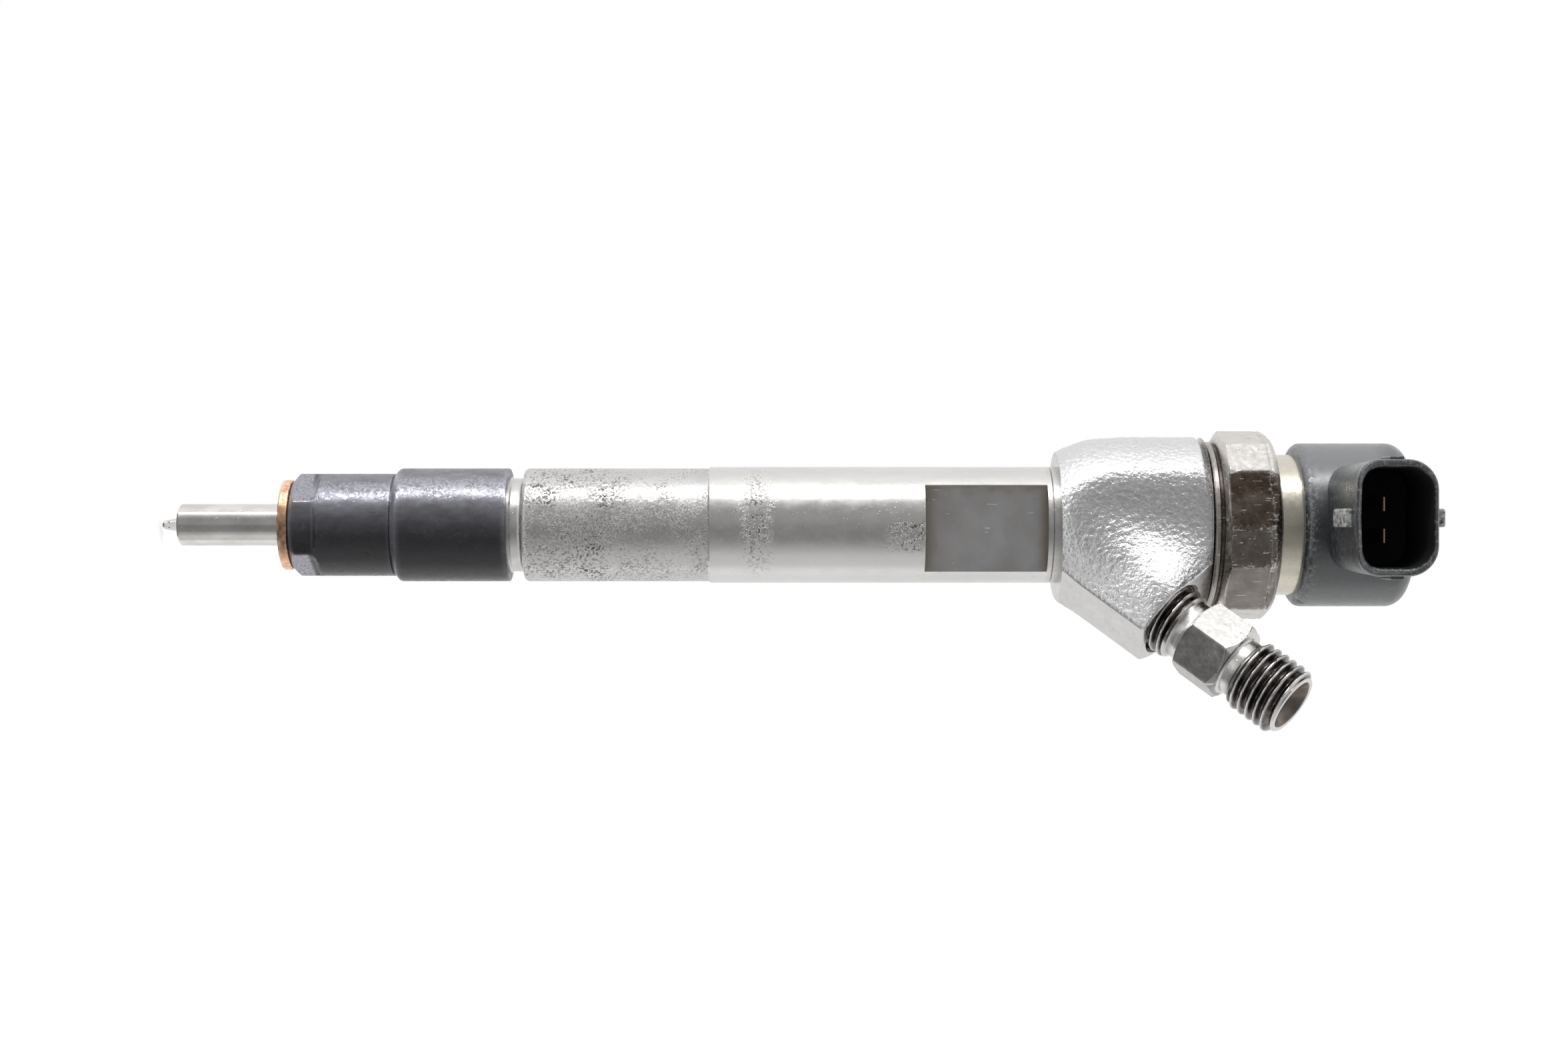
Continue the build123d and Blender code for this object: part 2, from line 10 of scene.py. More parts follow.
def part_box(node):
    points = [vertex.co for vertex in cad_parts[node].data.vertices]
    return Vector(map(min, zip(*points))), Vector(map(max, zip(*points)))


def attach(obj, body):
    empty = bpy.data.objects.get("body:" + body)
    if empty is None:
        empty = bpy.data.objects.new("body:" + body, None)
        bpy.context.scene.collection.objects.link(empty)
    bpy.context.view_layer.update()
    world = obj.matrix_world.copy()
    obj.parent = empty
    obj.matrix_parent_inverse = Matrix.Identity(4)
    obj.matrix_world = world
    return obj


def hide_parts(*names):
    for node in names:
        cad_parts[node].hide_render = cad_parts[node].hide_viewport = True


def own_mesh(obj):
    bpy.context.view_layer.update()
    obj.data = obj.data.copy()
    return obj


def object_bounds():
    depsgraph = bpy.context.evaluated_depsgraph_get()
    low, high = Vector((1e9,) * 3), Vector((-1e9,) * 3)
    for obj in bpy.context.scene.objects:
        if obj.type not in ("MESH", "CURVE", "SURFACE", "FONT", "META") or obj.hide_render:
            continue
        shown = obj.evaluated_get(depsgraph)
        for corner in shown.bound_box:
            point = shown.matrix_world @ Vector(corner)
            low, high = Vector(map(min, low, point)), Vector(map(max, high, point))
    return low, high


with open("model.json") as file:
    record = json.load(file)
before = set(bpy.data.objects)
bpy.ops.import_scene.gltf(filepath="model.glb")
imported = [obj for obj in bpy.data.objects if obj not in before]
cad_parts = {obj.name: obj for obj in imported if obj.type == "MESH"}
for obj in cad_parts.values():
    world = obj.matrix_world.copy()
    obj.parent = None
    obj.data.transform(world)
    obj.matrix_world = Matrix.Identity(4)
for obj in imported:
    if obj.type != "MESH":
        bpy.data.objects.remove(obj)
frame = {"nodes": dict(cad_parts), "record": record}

cad_low, cad_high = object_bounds()

# A common-rail fuel injector. The frame's Z runs along its axis from the nozzle to the solenoid.
# The numbers below are in millimetres, as in the CAD, and MM turns them into metres, except for
# the camera, the lights and the floor, which are in metres.
MM = 0.001
FULL_TURN = 2 * math.pi


def span(node):
    """The lowest and the highest z of a CAD node, in millimetres."""
    low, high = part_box(node)
    return low.z / MM, high.z / MM


def mount(name):
    """The place of a mount of the record, in millimetres, and its axis."""
    row = next(row for row in frame["record"]["mounts"] if row["name"] == name)
    return np.array(row["pos_m"]) / MM, np.array(row["axis"])


def add_object(name, data):
    """Puts a new object into the scene."""
    obj = bpy.data.objects.new(name, data)
    bpy.context.scene.collection.objects.link(obj)
    return obj


# ---- node helpers -------------------------------------------------------------------------------


def math_node(tree, kind, *values):
    """The result of a math node, each of whose values is a number or a socket."""
    node = tree.nodes.new("ShaderNodeMath")
    node.operation = kind
    for socket, value in zip(node.inputs, values):
        if isinstance(value, (int, float)):
            socket.default_value = value
        else:
            tree.links.new(value, socket)
    return node.outputs[0]


def ramp_node(tree, value, stops):
    """A colour ramp over a value, through (position, brightness, alpha) stops."""
    node = tree.nodes.new("ShaderNodeValToRGB")
    tree.links.new(value, node.inputs[0])
    points = node.color_ramp.elements
    for index, (position, light, alpha) in enumerate(stops):
        point = points[index] if index < 2 else points.new(position)
        point.position = position
        point.color = (light, light, light, alpha)
    return node


looks = {}


class Look:
    """One node-based material in looks, built from a few kinds of procedural pattern."""

    def __init__(self, name, **sockets):
        looks[name] = bpy.data.materials.new(name)
        looks[name].use_nodes = True
        self.tree = looks[name].node_tree
        self.surface = self.tree.nodes["Principled BSDF"]
        self.coords = self.tree.nodes.new("ShaderNodeTexCoord").outputs["Object"]
        for socket, value in sockets.items():
            self.set(socket.replace("_", " "), value)

    def link(self, source, target):
        """Joins a socket to an input, or sets the input to a number or a colour."""
        if isinstance(source, (int, float)):
            target.default_value = source
        elif isinstance(source, tuple):
            target.default_value = (*source, 1)
        else:
            self.tree.links.new(source, target)

    def set(self, socket, source):
        self.link(source, self.surface.inputs[socket])

    def stretched(self, stretch):
        """Object coordinates in millimetres, stretched by a factor along each axis."""
        node = self.tree.nodes.new("ShaderNodeMapping")
        node.inputs["Scale"].default_value = [s / MM for s in stretch]
        self.tree.links.new(self.coords, node.inputs[0])
        return node.outputs[0]

    def noise(self, size, detail=2.0, stretch=(1, 1, 1), rough=0.5, distort=0.0):
        """Soft noise from 0 to 1 whose blobs are about size millimetres."""
        node = self.tree.nodes.new("ShaderNodeTexNoise")
        node.inputs["Scale"].default_value = 1.0 / size
        node.inputs["Detail"].default_value = detail
        node.inputs["Roughness"].default_value = rough
        node.inputs["Distortion"].default_value = distort
        self.tree.links.new(self.stretched(stretch), node.inputs["Vector"])
        return node.outputs[0]

    def curve(self, value, *points):
        """Maps a value through straight runs between (in, out) points, out being from 0 to 1."""
        return ramp_node(self.tree, value, [(at, out, 1) for at, out in points]).outputs[0]

    def math(self, kind, *values):
        return math_node(self.tree, kind, *values)

    def times(self, a, b):
        return self.math("MULTIPLY", a, b)

    def most(self, a, b):
        return self.math("MAXIMUM", a, b)

    def mix(self, share, a, b):
        """A colour between a, at share 0, and b, at share 1."""
        node = self.tree.nodes.new("ShaderNodeMixRGB")
        self.link(share, node.inputs["Fac"])
        self.link(a, node.inputs["Color1"])
        self.link(b, node.inputs["Color2"])
        return node.outputs[0]

    def mark(self, name):
        """A value from 0 to 1 that the mesh holds at its points."""
        node = self.tree.nodes.new("ShaderNodeAttribute")
        node.attribute_name = name
        return node.outputs["Fac"]

    def height(self):
        """The distance along the injector's axis, in millimetres."""
        parts = self.tree.nodes.new("ShaderNodeSeparateXYZ")
        self.tree.links.new(self.stretched((1, 1, 1)), parts.inputs[0])
        return parts.outputs["Z"]

    def colour(self, share, a, b):
        """Colours the surface a where share is 0 and b where it is 1."""
        self.set("Base Color", self.mix(share, a, b))

    def gloss(self, smooth, dull, size, detail, rough=0.5):
        """Varies the roughness from smooth to dull in blobs of about size millimetres."""
        noise = self.noise(size, detail, rough=rough)
        self.set("Roughness", self.curve(noise, (0.3, smooth), (0.7, dull)))

    def bump(self, height, depth):
        """Raises the surface by depth millimetres where height is 1, on top of earlier bumps."""
        node = self.tree.nodes.new("ShaderNodeBump")
        node.inputs["Strength"].default_value = 1.0
        node.inputs["Distance"].default_value = depth * MM
        self.tree.links.new(height, node.inputs["Height"])
        normal = self.surface.inputs["Normal"]
        if normal.links:
            self.tree.links.new(normal.links[0].from_socket, node.inputs["Normal"])
        self.tree.links.new(node.outputs[0], normal)


# ---- camera, light and floor --------------------------------------------------------------------

CAMERA = (-0.00039, -0.422, 0.0831)
LENS = 58.16
BRIGHTEST = 1.7
# Degrees round the axis from -Y towards -X, and the surround's brightness there.
ROUND_AXIS = [
    (-180, 1.0), (-126, 1.1), (-103, 1.3), (-86, 0.85), (-60, 0.75), (-45, 0.55), (-34, 0.32), (-8, 0.27),
    (8, 0.42), (32, 0.40), (45, 0.55), (56, 1.05), (74, 1.3), (90, 1.4), (105, 1.3), (126, 1.2), (180, 1.0),
]
# The z of a direction, the brightness there, and how far that covers the brightness round the axis.
ALONG_AXIS = [
    (-1.0, 0.30, 1.0), (-0.82, 0.34, 1.0), (-0.75, 1.3, 0.85), (-0.58, 1.3, 0.7), (-0.33, 1.25, 0.05),
    (-0.2, 1.22, 0.0), (0.3, 1.22, 0.03), (0.5, 1.22, 0.12), (0.75, 1.22, 0.42), (1.0, 1.22, 1.0),
]
# Name, degrees round the axis, distance from it, size and power.
LAMPS = [
    ("softbox", 67, 0.5, (0.085, 0.8), 2.0),
    ("fill", -68, 0.6, (0.22, 0.8), 0.05),
]
LAMP_Z = 0.083
FLOOR_R = 0.09
FLOOR_GAP = 0.0002


def camera():
    """Looks along +Y at the middle of the injector, rolled so that the nozzle points left."""
    data = bpy.data.cameras.new("camera")
    data.sensor_width = 36.0
    data.lens = LENS
    data.clip_start = 0.01
    data.clip_end = 10.0
    obj = add_object("camera", data)
    right, up, back = Vector((0, 0, 1)), Vector((-1, 0, 0)), Vector((0, -1, 0))
    turn = Matrix((right, up, back)).transposed().to_4x4()
    obj.matrix_world = Matrix.Translation(CAMERA) @ turn
    bpy.context.scene.camera = obj


def surround():
    """A white surround, dimmer in front of the injector and past its nozzle, and white to look at."""
    scene = bpy.context.scene
    scene.view_settings.view_transform = "Standard"
    world = bpy.data.worlds.new("studio")
    scene.world = world
    world.use_nodes = True
    tree = world.node_tree
    tree.nodes.clear()
    coords = tree.nodes.new("ShaderNodeTexCoord")
    parts = tree.nodes.new("ShaderNodeSeparateXYZ")
    tree.links.new(coords.outputs["Generated"], parts.inputs[0])
    up = math_node(tree, "MULTIPLY", parts.outputs["X"], -1.0)
    front = math_node(tree, "MULTIPLY", parts.outputs["Y"], -1.0)
    angle = math_node(tree, "ARCTAN2", up, front)
    place = math_node(tree, "MULTIPLY_ADD", angle, 1 / FULL_TURN, 0.5)
    turns = [(degrees / 360 + 0.5, light / BRIGHTEST, 1.0) for degrees, light in ROUND_AXIS]
    around_axis = ramp_node(tree, place, turns)
    height = math_node(tree, "MULTIPLY_ADD", parts.outputs["Z"], 0.5, 0.5)
    heights = [(z / 2 + 0.5, light / BRIGHTEST, cover) for z, light, cover in ALONG_AXIS]
    ends = ramp_node(tree, height, heights)
    level = tree.nodes.new("ShaderNodeMixRGB")
    tree.links.new(ends.outputs["Alpha"], level.inputs["Fac"])
    tree.links.new(around_axis.outputs[0], level.inputs["Color1"])
    tree.links.new(ends.outputs[0], level.inputs["Color2"])

    seen = tree.nodes.new("ShaderNodeBackground")
    seen.inputs["Color"].default_value = (1, 1, 1, 1)
    lit = tree.nodes.new("ShaderNodeBackground")
    lit.inputs["Strength"].default_value = BRIGHTEST
    tree.links.new(level.outputs[0], lit.inputs["Color"])
    rays = tree.nodes.new("ShaderNodeLightPath")
    choose = tree.nodes.new("ShaderNodeMixShader")
    tree.links.new(rays.outputs["Is Camera Ray"], choose.inputs[0])
    tree.links.new(lit.outputs[0], choose.inputs[1])
    tree.links.new(seen.outputs[0], choose.inputs[2])
    out = tree.nodes.new("ShaderNodeOutputWorld")
    tree.links.new(choose.outputs[0], out.inputs["Surface"])


def lamps():
    """Long lamps beside the injector, facing its axis."""
    for name, degrees, distance, size, power in LAMPS:
        light = bpy.data.lights.new(name, "AREA")
        light.shape = "RECTANGLE"
        light.size, light.size_y = size
        light.energy = power
        lamp = add_object(name, light)
        away = Vector((-math.sin(math.radians(degrees)), -math.cos(math.radians(degrees)), 0))
        upright = Vector((0, 0, 1))
        turn = Matrix((upright.cross(away), upright, away)).transposed().to_4x4()
        lamp.matrix_world = Matrix.Translation(away * distance + Vector((0, 0, LAMP_Z))) @ turn
        lamp.visible_camera = False


def floor():
    """A pale round floor under the nozzle's tip."""
    level = cad_low.z - FLOOR_GAP
    corners = 96
    turns = np.linspace(0, FULL_TURN, corners + 1)[:-1]
    rim = [(FLOOR_R * math.cos(a), FLOOR_R * math.sin(a), level) for a in turns]
    mesh = bpy.data.meshes.new("floor")
    mesh.from_pydata(rim, [], [list(range(corners))])
    obj = add_object("floor", mesh)
    obj.visible_glossy = False
    white = (1.0, 1.0, 1.0)
    paint = Look("floor_white", Base_Color=(0.95, 0.95, 0.95), Roughness=0.9, Emission_Color=white)
    paint.set("Emission Strength", 0.25)
    mesh.materials.append(looks["floor_white"])


# ---- materials ----------------------------------------------------------------------------------


METAL = {"Metallic": 1.0}
# Each plain look's name and sockets, the size and detail of its clouds, their two colours, its
# gloss, its fine grain's size, detail and stretch, and the depth of that grain.
PLAIN_LOOKS = [
    ("ground_steel", METAL, (3.0, 3), (0.56, 0.555, 0.55), (0.44, 0.435, 0.42),
     (0.2, 0.36, 0.8, 3), (0.06, 2, (0.12, 0.12, 1.6)), 0.002),
    ("stained_steel", METAL, (1.4, 4), (0.08, 0.06, 0.052), (0.24, 0.215, 0.195),
     (0.28, 0.5, 0.8, 3), (0.25, 3), 0.02),
    ("spring_steel", METAL, (0.8, 3), (0.44, 0.44, 0.45), (0.30, 0.30, 0.31),
     (0.22, 0.4, 0.4, 3), (0.1, 2), 0.004),
    ("magnet_iron", METAL, (0.35, 4), (0.24, 0.24, 0.25), (0.12, 0.12, 0.13),
     (0.4, 0.6, 0.3, 3), (0.12, 3), 0.012),
    ("terminal_brass", METAL, (0.7, 3), (0.52, 0.44, 0.26), (0.32, 0.26, 0.15),
     (0.2, 0.38, 0.4, 3), (0.1, 2, (1, 0.15, 1)), 0.003),
    ("bobbin_plastic", {}, (1.0, 3), (0.32, 0.30, 0.27), (0.24, 0.22, 0.19),
     (0.42, 0.6, 0.4, 3), (0.1, 3), 0.006),
    ("seal_rubber", {}, (0.8, 3), (0.035, 0.035, 0.035), (0.018, 0.018, 0.018),
     (0.48, 0.7, 0.3, 3), (0.08, 3), 0.005),
    # A darker, duller copy of the cap plastic for the inside of the socket: painted shade.
    ("socket_plastic", {"IOR": 1.3}, (1.0, 3), (0.007, 0.007, 0.007), (0.012, 0.012, 0.012),
     (0.6, 0.8, 0.5, 3), (0.2, 3), 0.01),
]


def plain_looks():
    """Looks with two clouded colours, an uneven gloss and one fine grain."""
    for name, sockets, cloud, thin, thick, gloss, grain, depth in PLAIN_LOOKS:
        look = Look(name, **sockets)
        look.colour(look.noise(*cloud), thin, thick)
        look.gloss(*gloss)
        look.bump(look.noise(*grain), depth)


def polished_steel():
    look = Look("polished_steel", Metallic=1.0)
    smudge = look.curve(look.noise(2.2, 4, (1, 1, 0.5)), (0.35, 0), (0.7, 1))
    look.colour(smudge, (0.62, 0.61, 0.595), (0.50, 0.48, 0.455))
    look.gloss(0.07, 0.17, 0.9, 3)
    look.bump(look.noise(0.05, 2, (0.15, 0.15, 2.0)), 0.0004)
    look.bump(look.curve(look.noise(0.45, 3), (0.68, 0), (0.74, 1)), -0.01)


def body_ground():
    """The ground shank: fine rings from the grinding wheel, and corrosion pits where marked."""
    look = Look("body_ground")
    cloud = look.noise(9.0, 4, (1, 1, 0.45))
    clean = look.mix(cloud, (0.62, 0.615, 0.605), (0.50, 0.49, 0.475))
    pits = look.curve(look.noise(0.55, 4, rough=0.62), (0.52, 0), (0.60, 1))
    pitted = look.times(pits, look.mark("pits"))
    dust = look.curve(look.noise(0.28, 2), (0.68, 0), (0.76, 0.5))
    dusty = look.times(dust, look.curve(cloud, (0.4, 0.1), (0.65, 1)))
    look.colour(look.most(pitted, dusty), clean, (0.10, 0.09, 0.08))
    look.set("Roughness", look.curve(look.noise(1.6, 4, (1, 1, 0.6)), (0.3, 0.24), (0.75, 0.36)))
    look.set("Metallic", look.curve(pitted, (0.0, 1.0), (1.0, 0.45)))
    look.bump(look.noise(0.07, 2, (0.10, 0.10, 1.5)), 0.0022)
    look.bump(look.noise(0.9, 4), 0.012)
    look.bump(look.most(pitted, look.times(dust, 0.4)), -0.09)


def body_pitted():
    """The front of the shank, where the machined skin is eaten into clusters of pits."""
    look = Look("body_pitted")
    cluster = look.curve(look.noise(3.4, 4, rough=0.6), (0.40, 0), (0.62, 1))
    fine = look.noise(0.42, 5, rough=0.66, distort=0.3)
    wanted = look.times(look.most(cluster, 0.45), look.mark("pits"))
    pits = look.times(look.curve(fine, (0.51, 0), (0.56, 1)), wanted)
    deep = look.times(look.curve(fine, (0.55, 0), (0.60, 1)), wanted)
    clean = look.mix(look.noise(6.0, 3), (0.56, 0.55, 0.545), (0.45, 0.44, 0.43))
    shallow = look.mix(look.times(pits, 0.85), clean, (0.17, 0.16, 0.15))
    look.colour(deep, shallow, (0.055, 0.05, 0.045))
    look.set("Roughness", look.curve(pits, (0.0, 0.30), (1.0, 0.62)))
    look.set("Metallic", look.curve(deep, (0.0, 1.0), (1.0, 0.4)))
    look.bump(look.times(look.noise(0.6, 4, rough=0.55), look.most(cluster, 0.35)), 0.07)
    look.bump(pits, -0.05)


def body_milled():
    """The clamp flats: fine parallel cutter marks across a dull, slightly stained face."""
    look = Look("body_milled", Metallic=1.0)
    stain = look.most(look.curve(look.noise(5.0, 4), (0.4, 0), (0.75, 0.6)), look.mark("stain"))
    look.colour(stain, (0.45, 0.45, 0.46), (0.29, 0.255, 0.215))
    look.gloss(0.34, 0.48, 2.5, 3)
    look.bump(look.noise(0.14, 3, (0.05, 1, 1.4)), 0.012)
    look.bump(look.curve(look.noise(0.7, 3, (3, 1, 0.25)), (0.70, 0), (0.76, 1)), -0.02)


def body_forged():
    """The head: a shot-blasted forging with a leathery grain."""
    look = Look("body_forged", Metallic=1.0)
    grain = look.noise(0.62, 3, distort=0.3)
    look.colour(look.curve(grain, (0.35, 0), (0.65, 1)), (0.55, 0.55, 0.555), (0.62, 0.62, 0.625))
    look.gloss(0.22, 0.32, 0.9, 4)
    look.bump(grain, 0.17)
    look.bump(look.noise(0.3, 2), 0.03)


def body_machined():
    """Turned and milled bands next to the forging."""
    look = Look("body_machined", Metallic=1.0)
    look.colour(look.noise(4.0, 3), (0.60, 0.59, 0.575), (0.46, 0.45, 0.435))
    look.gloss(0.25, 0.42, 1.2, 4)
    look.bump(look.noise(0.12, 2, (0.3, 0.3, 1)), 0.006)
    look.bump(look.curve(look.noise(0.5, 3), (0.66, 0), (0.74, 1)), -0.03)


def fitting_steel():
    """The inlet fitting: bright steel, darker where marked, which is painted shade in its thread roots, its
    necks and the hexagon facets that face -Y and the nozzle end.
    """
    look = Look("fitting_steel", Metallic=1.0)
    # The mark is painted shade; this noise only mottles it a little.
    stain = look.curve(look.noise(2.2, 4, rough=0.6), (0.30, 0.75), (0.62, 1))
    look.colour(look.times(stain, look.mark("dark")), (0.58, 0.57, 0.555), (0.05, 0.04, 0.038))
    look.gloss(0.17, 0.32, 0.7, 4)
    look.bump(look.noise(0.35, 3), 0.012)
    look.bump(look.curve(look.noise(0.8, 3), (0.68, 0), (0.75, 1)), -0.05)


def nut_steel():
    """The solenoid nut: brown oxide on its flats, bright scuffs, dents and scratches."""
    look = Look("nut_steel", Metallic=1.0)
    patch = look.curve(look.noise(2.6, 5, rough=0.6), (0.40, 0), (0.66, 1))
    oxide = look.mix(patch, (0.062, 0.043, 0.033), (0.135, 0.11, 0.09))
    bare = look.mix(look.noise(1.8, 4), (0.46, 0.44, 0.42), (0.66, 0.64, 0.61))
    surface = look.mix(look.mark("oxide"), bare, oxide)
    scuffs = look.times(look.noise(0.7, 5, rough=0.7), look.mark("wear_and_sheen"))
    scratch = look.curve(look.noise(0.5, 3, (1.5, 1.5, 0.16)), (0.65, 0), (0.68, 1))
    lightened = look.most(look.curve(scuffs, (0.38, 0), (0.50, 1)), look.times(scratch, 0.5))
    look.colour(lightened, surface, (0.62, 0.60, 0.57))
    look.gloss(0.20, 0.44, 0.9, 5)
    look.bump(look.noise(0.16, 2, (0.2, 0.2, 1.4)), 0.006)
    look.bump(look.curve(look.noise(1.1, 3, rough=0.6), (0.66, 0), (0.74, 1)), -0.10)
    look.bump(scratch, -0.08)


def sleeve_steel():
    """The dull nickel-coloured sleeve under the cap."""
    look = Look("sleeve_steel", Metallic=1.0)
    look.colour(look.noise(2.4, 4, (1, 1, 0.4)), (0.58, 0.55, 0.475), (0.46, 0.43, 0.36))
    look.gloss(0.2, 0.36, 1.1, 4)
    look.bump(look.noise(0.10, 2, (0.1, 0.1, 1.3)), 0.004)
    look.bump(look.curve(look.noise(0.4, 3), (0.70, 0), (0.75, 1)), -0.05)


def black_phosphate():
    """The nozzle nut's black coat, turned towards bare metal where marked: painted sheen along its upper
    side, rubbed bare at its edges.
    """
    look = Look("black_phosphate", IOR=1.45)
    patches = look.curve(look.noise(1.7, 5, (1, 1, 0.45), rough=0.66), (0.35, 0.5), (0.65, 0.9))
    # Painted sheen: where the mark is high, along the nut's upper side, these patches and specks turn the
    # coat towards bluish bare metal; at the edges the same mark stands for rubbing.
    sheen = look.times(patches, look.mark("wear_and_sheen"))
    rubbed = look.curve(look.times(look.noise(0.45, 4), look.mark("wear_and_sheen")), (0.44, 0), (0.50, 1))
    lightened = look.most(sheen, rubbed)
    coat = look.mix(look.noise(3.0, 4), (0.002, 0.002, 0.003), (0.007, 0.006, 0.009))
    look.colour(lightened, coat, (0.31, 0.31, 0.35))
    look.set("Metallic", look.times(lightened, 0.9))
    look.gloss(0.22, 0.40, 1.0, 5, rough=0.6)
    look.bump(look.noise(0.45, 4), 0.02)
    look.bump(look.curve(look.noise(0.5, 4), (0.66, 0), (0.72, 1)), -0.05)


def copper():
    """The washer: pink copper with dark spots, burnt where marked."""
    look = Look("copper", Metallic=1.0)
    spots = look.curve(look.noise(0.6, 5, rough=0.66), (0.42, 0), (0.66, 0.6))
    tarnish = look.most(spots, look.mark("burnt"))
    look.colour(tarnish, (0.92, 0.58, 0.37), (0.06, 0.03, 0.02))
    look.set("Roughness", look.curve(tarnish, (0.0, 0.26), (1.0, 0.5)))
    look.bump(look.noise(0.25, 4), 0.03)


def winding_copper():
    """Enamelled wire: close turns one above the other."""
    look = Look("winding_copper", Metallic=1.0)
    wire = 0.28
    turns = look.math("ABSOLUTE", look.math("SINE", look.times(look.height(), math.pi / wire)))
    look.colour(look.noise(1.0, 3), (0.62, 0.24, 0.09), (0.42, 0.14, 0.06))
    look.gloss(0.18, 0.34, 0.5, 3)
    look.bump(turns, 0.08)


def scuffed_plastic():
    """The connector's lugs, rubbed pale."""
    look = Look("scuffed_plastic")
    rubbed = look.curve(look.noise(0.8, 5, rough=0.7), (0.38, 0), (0.56, 1))
    look.colour(rubbed, (0.05, 0.05, 0.052), (0.42, 0.42, 0.41))
    look.gloss(0.3, 0.5, 0.5, 4)
    look.bump(rubbed, 0.04)


def cap_plastic():
    """Moulded glass-filled nylon: blue-grey, made paler by a painted highlight and scuffed pale, each where
    marked.
    """
    look = Look("cap_plastic", IOR=1.85)
    nylon = look.mix(look.noise(4.0, 4), (0.006, 0.009, 0.011), (0.012, 0.016, 0.019))
    # Painted highlight: the nylon is mixed towards pale grey where the highlight mark is high.
    shade = look.mix(look.mark("painted_highlight"), nylon, (0.095, 0.10, 0.105))
    rubbed = look.curve(look.noise(0.7, 6, rough=0.72), (0.52, 0), (0.64, 1))
    scuff = look.times(rubbed, look.mark("wear_and_sheen"))
    fleck = look.curve(look.noise(0.3, 2), (0.78, 0), (0.82, 0.5))
    look.colour(look.most(look.times(scuff, 0.7), look.times(fleck, 0.15)), shade, (0.30, 0.31, 0.31))
    look.gloss(0.24, 0.34, 1.2, 5)
    look.bump(look.noise(0.16, 3), 0.0018)
    look.bump(look.noise(2.5, 3), 0.012)
    look.bump(scuff, 0.05)


plain_looks()
polished_steel()
body_ground()
body_pitted()
body_milled()
body_forged()
body_machined()
fitting_steel()
nut_steel()
sleeve_steel()
black_phosphate()
copper()
winding_copper()
scuffed_plastic()
cap_plastic()


def dress_cad_nodes():
    """Gives each CAD node that stays in view the material of its slot."""
    for row in frame["record"]["subparts"]:
        slot = row["material_slot"]
        if slot in looks:
            mesh = frame["nodes"][row["node"]].data
            mesh.materials.clear()
            mesh.materials.append(looks[slot])


# ---- building meshes ----------------------------------------------------------------------------


class Grain:
    """Seeded gradient noise over points in millimetres, about -0.7 to 0.7."""

    def __init__(self, seed):
        rng = np.random.default_rng(seed)
        self.order = rng.permutation(256)
        slopes = rng.normal(size=(256, 3))
        self.slopes = slopes / np.linalg.norm(slopes, axis=1, keepdims=True)

    def at(self, points, size):
        scaled = points / size
        cell = np.floor(scaled).astype(int)
        inside = scaled - cell
        ease = inside**3 * (inside * (inside * 6 - 15) + 10)
        total = np.zeros(points.shape[:-1])
        for corner in np.ndindex(2, 2, 2):
            at = (cell + corner) & 255
            key = self.order[(self.order[(self.order[at[..., 0]] + at[..., 1]) & 255] + at[..., 2]) & 255]
            slope = (self.slopes[key] * (inside - corner)).sum(-1)
            share = np.where(np.array(corner) == 1, ease, 1 - ease).prod(-1)
            total += share * slope
        return total

    def lumps(self, points, size, least):
        """The part of the noise above a least value, and 0 elsewhere."""
        return np.clip(self.at(points, size) - least, 0, None)


def run(*corners):
    """Splits straight runs between (radius, height, step, look) corners into steps.

    The look is the index of the material between a corner and the next, and the last corner
    joins back to the first. Returns radii, heights and looks.
    """
    radii, heights, faces = [], [], []
    for (r0, z0, step, face), (r1, z1, _, _) in zip(corners, corners[1:] + corners[:1]):
        count = max(1, math.ceil(math.hypot(r1 - r0, z1 - z0) / step))
        share = np.arange(count) / count
        radii.extend(r0 + (r1 - r0) * share)
        heights.extend(z0 + (z1 - z0) * share)
        faces.extend([face] * count)
    return np.array(radii), np.array(heights), np.array(faces)


def arc(radius, height, across, up, degrees, step):
    """Corners for run() along an ellipse about (radius, height), from its bottom at 0 degrees."""
    turns = np.radians(degrees)
    return [(radius + across * math.sin(a), height - up * math.cos(a), step, 0) for a in turns]


def around(radii, heights, angles, origin=(0, 0, 0), axes=((1, 0, 0), (0, 1, 0), (0, 0, 1))):
    """Points on rings about an axis: radii may be one per ring or one per ring and angle."""
    u, v, w = (np.array(axis, float) for axis in axes)
    if radii.ndim == 1:
        radii = rings(radii, angles)
    flat = radii[..., None] * (np.cos(angles)[:, None] * u + np.sin(angles)[:, None] * v)
    return np.array(origin, float) + flat + heights[:, None, None] * w


def rings(values, angles):
    """One value per ring, repeated for each angle."""
    return np.repeat(values[:, None], len(angles), 1)


def skin(name, points, faces, materials, marks=None):
    """A closed mesh over rings of points, in millimetres. faces gives each quad's material."""
    count, columns = points.shape[:2]
    index = np.arange(count * columns).reshape(count, columns)
    beyond = np.roll(index, -1, 0)
    quads = np.stack([index, np.roll(index, -1, 1), np.roll(beyond, -1, 1), beyond], -1).reshape(-1, 4)
    mesh = bpy.data.meshes.new(name)
    mesh.from_pydata((points.reshape(-1, 3) * MM).tolist(), [], quads.tolist())
    for material in materials:
        mesh.materials.append(looks[material])
    if faces.ndim == 1:
        faces = np.repeat(faces[:, None], columns, 1)
    mesh.polygons.foreach_set("material_index", faces.reshape(-1).astype(np.int32))
    mesh.polygons.foreach_set("use_smooth", np.ones(len(quads), bool))
    for mark, values in (marks or {}).items():
        layer = mesh.attributes.new(mark, "FLOAT", "POINT")
        layer.data.foreach_set("value", np.clip(values, 0, 1).reshape(-1).astype(np.float32))
    obj = add_object(name, mesh)
    return obj


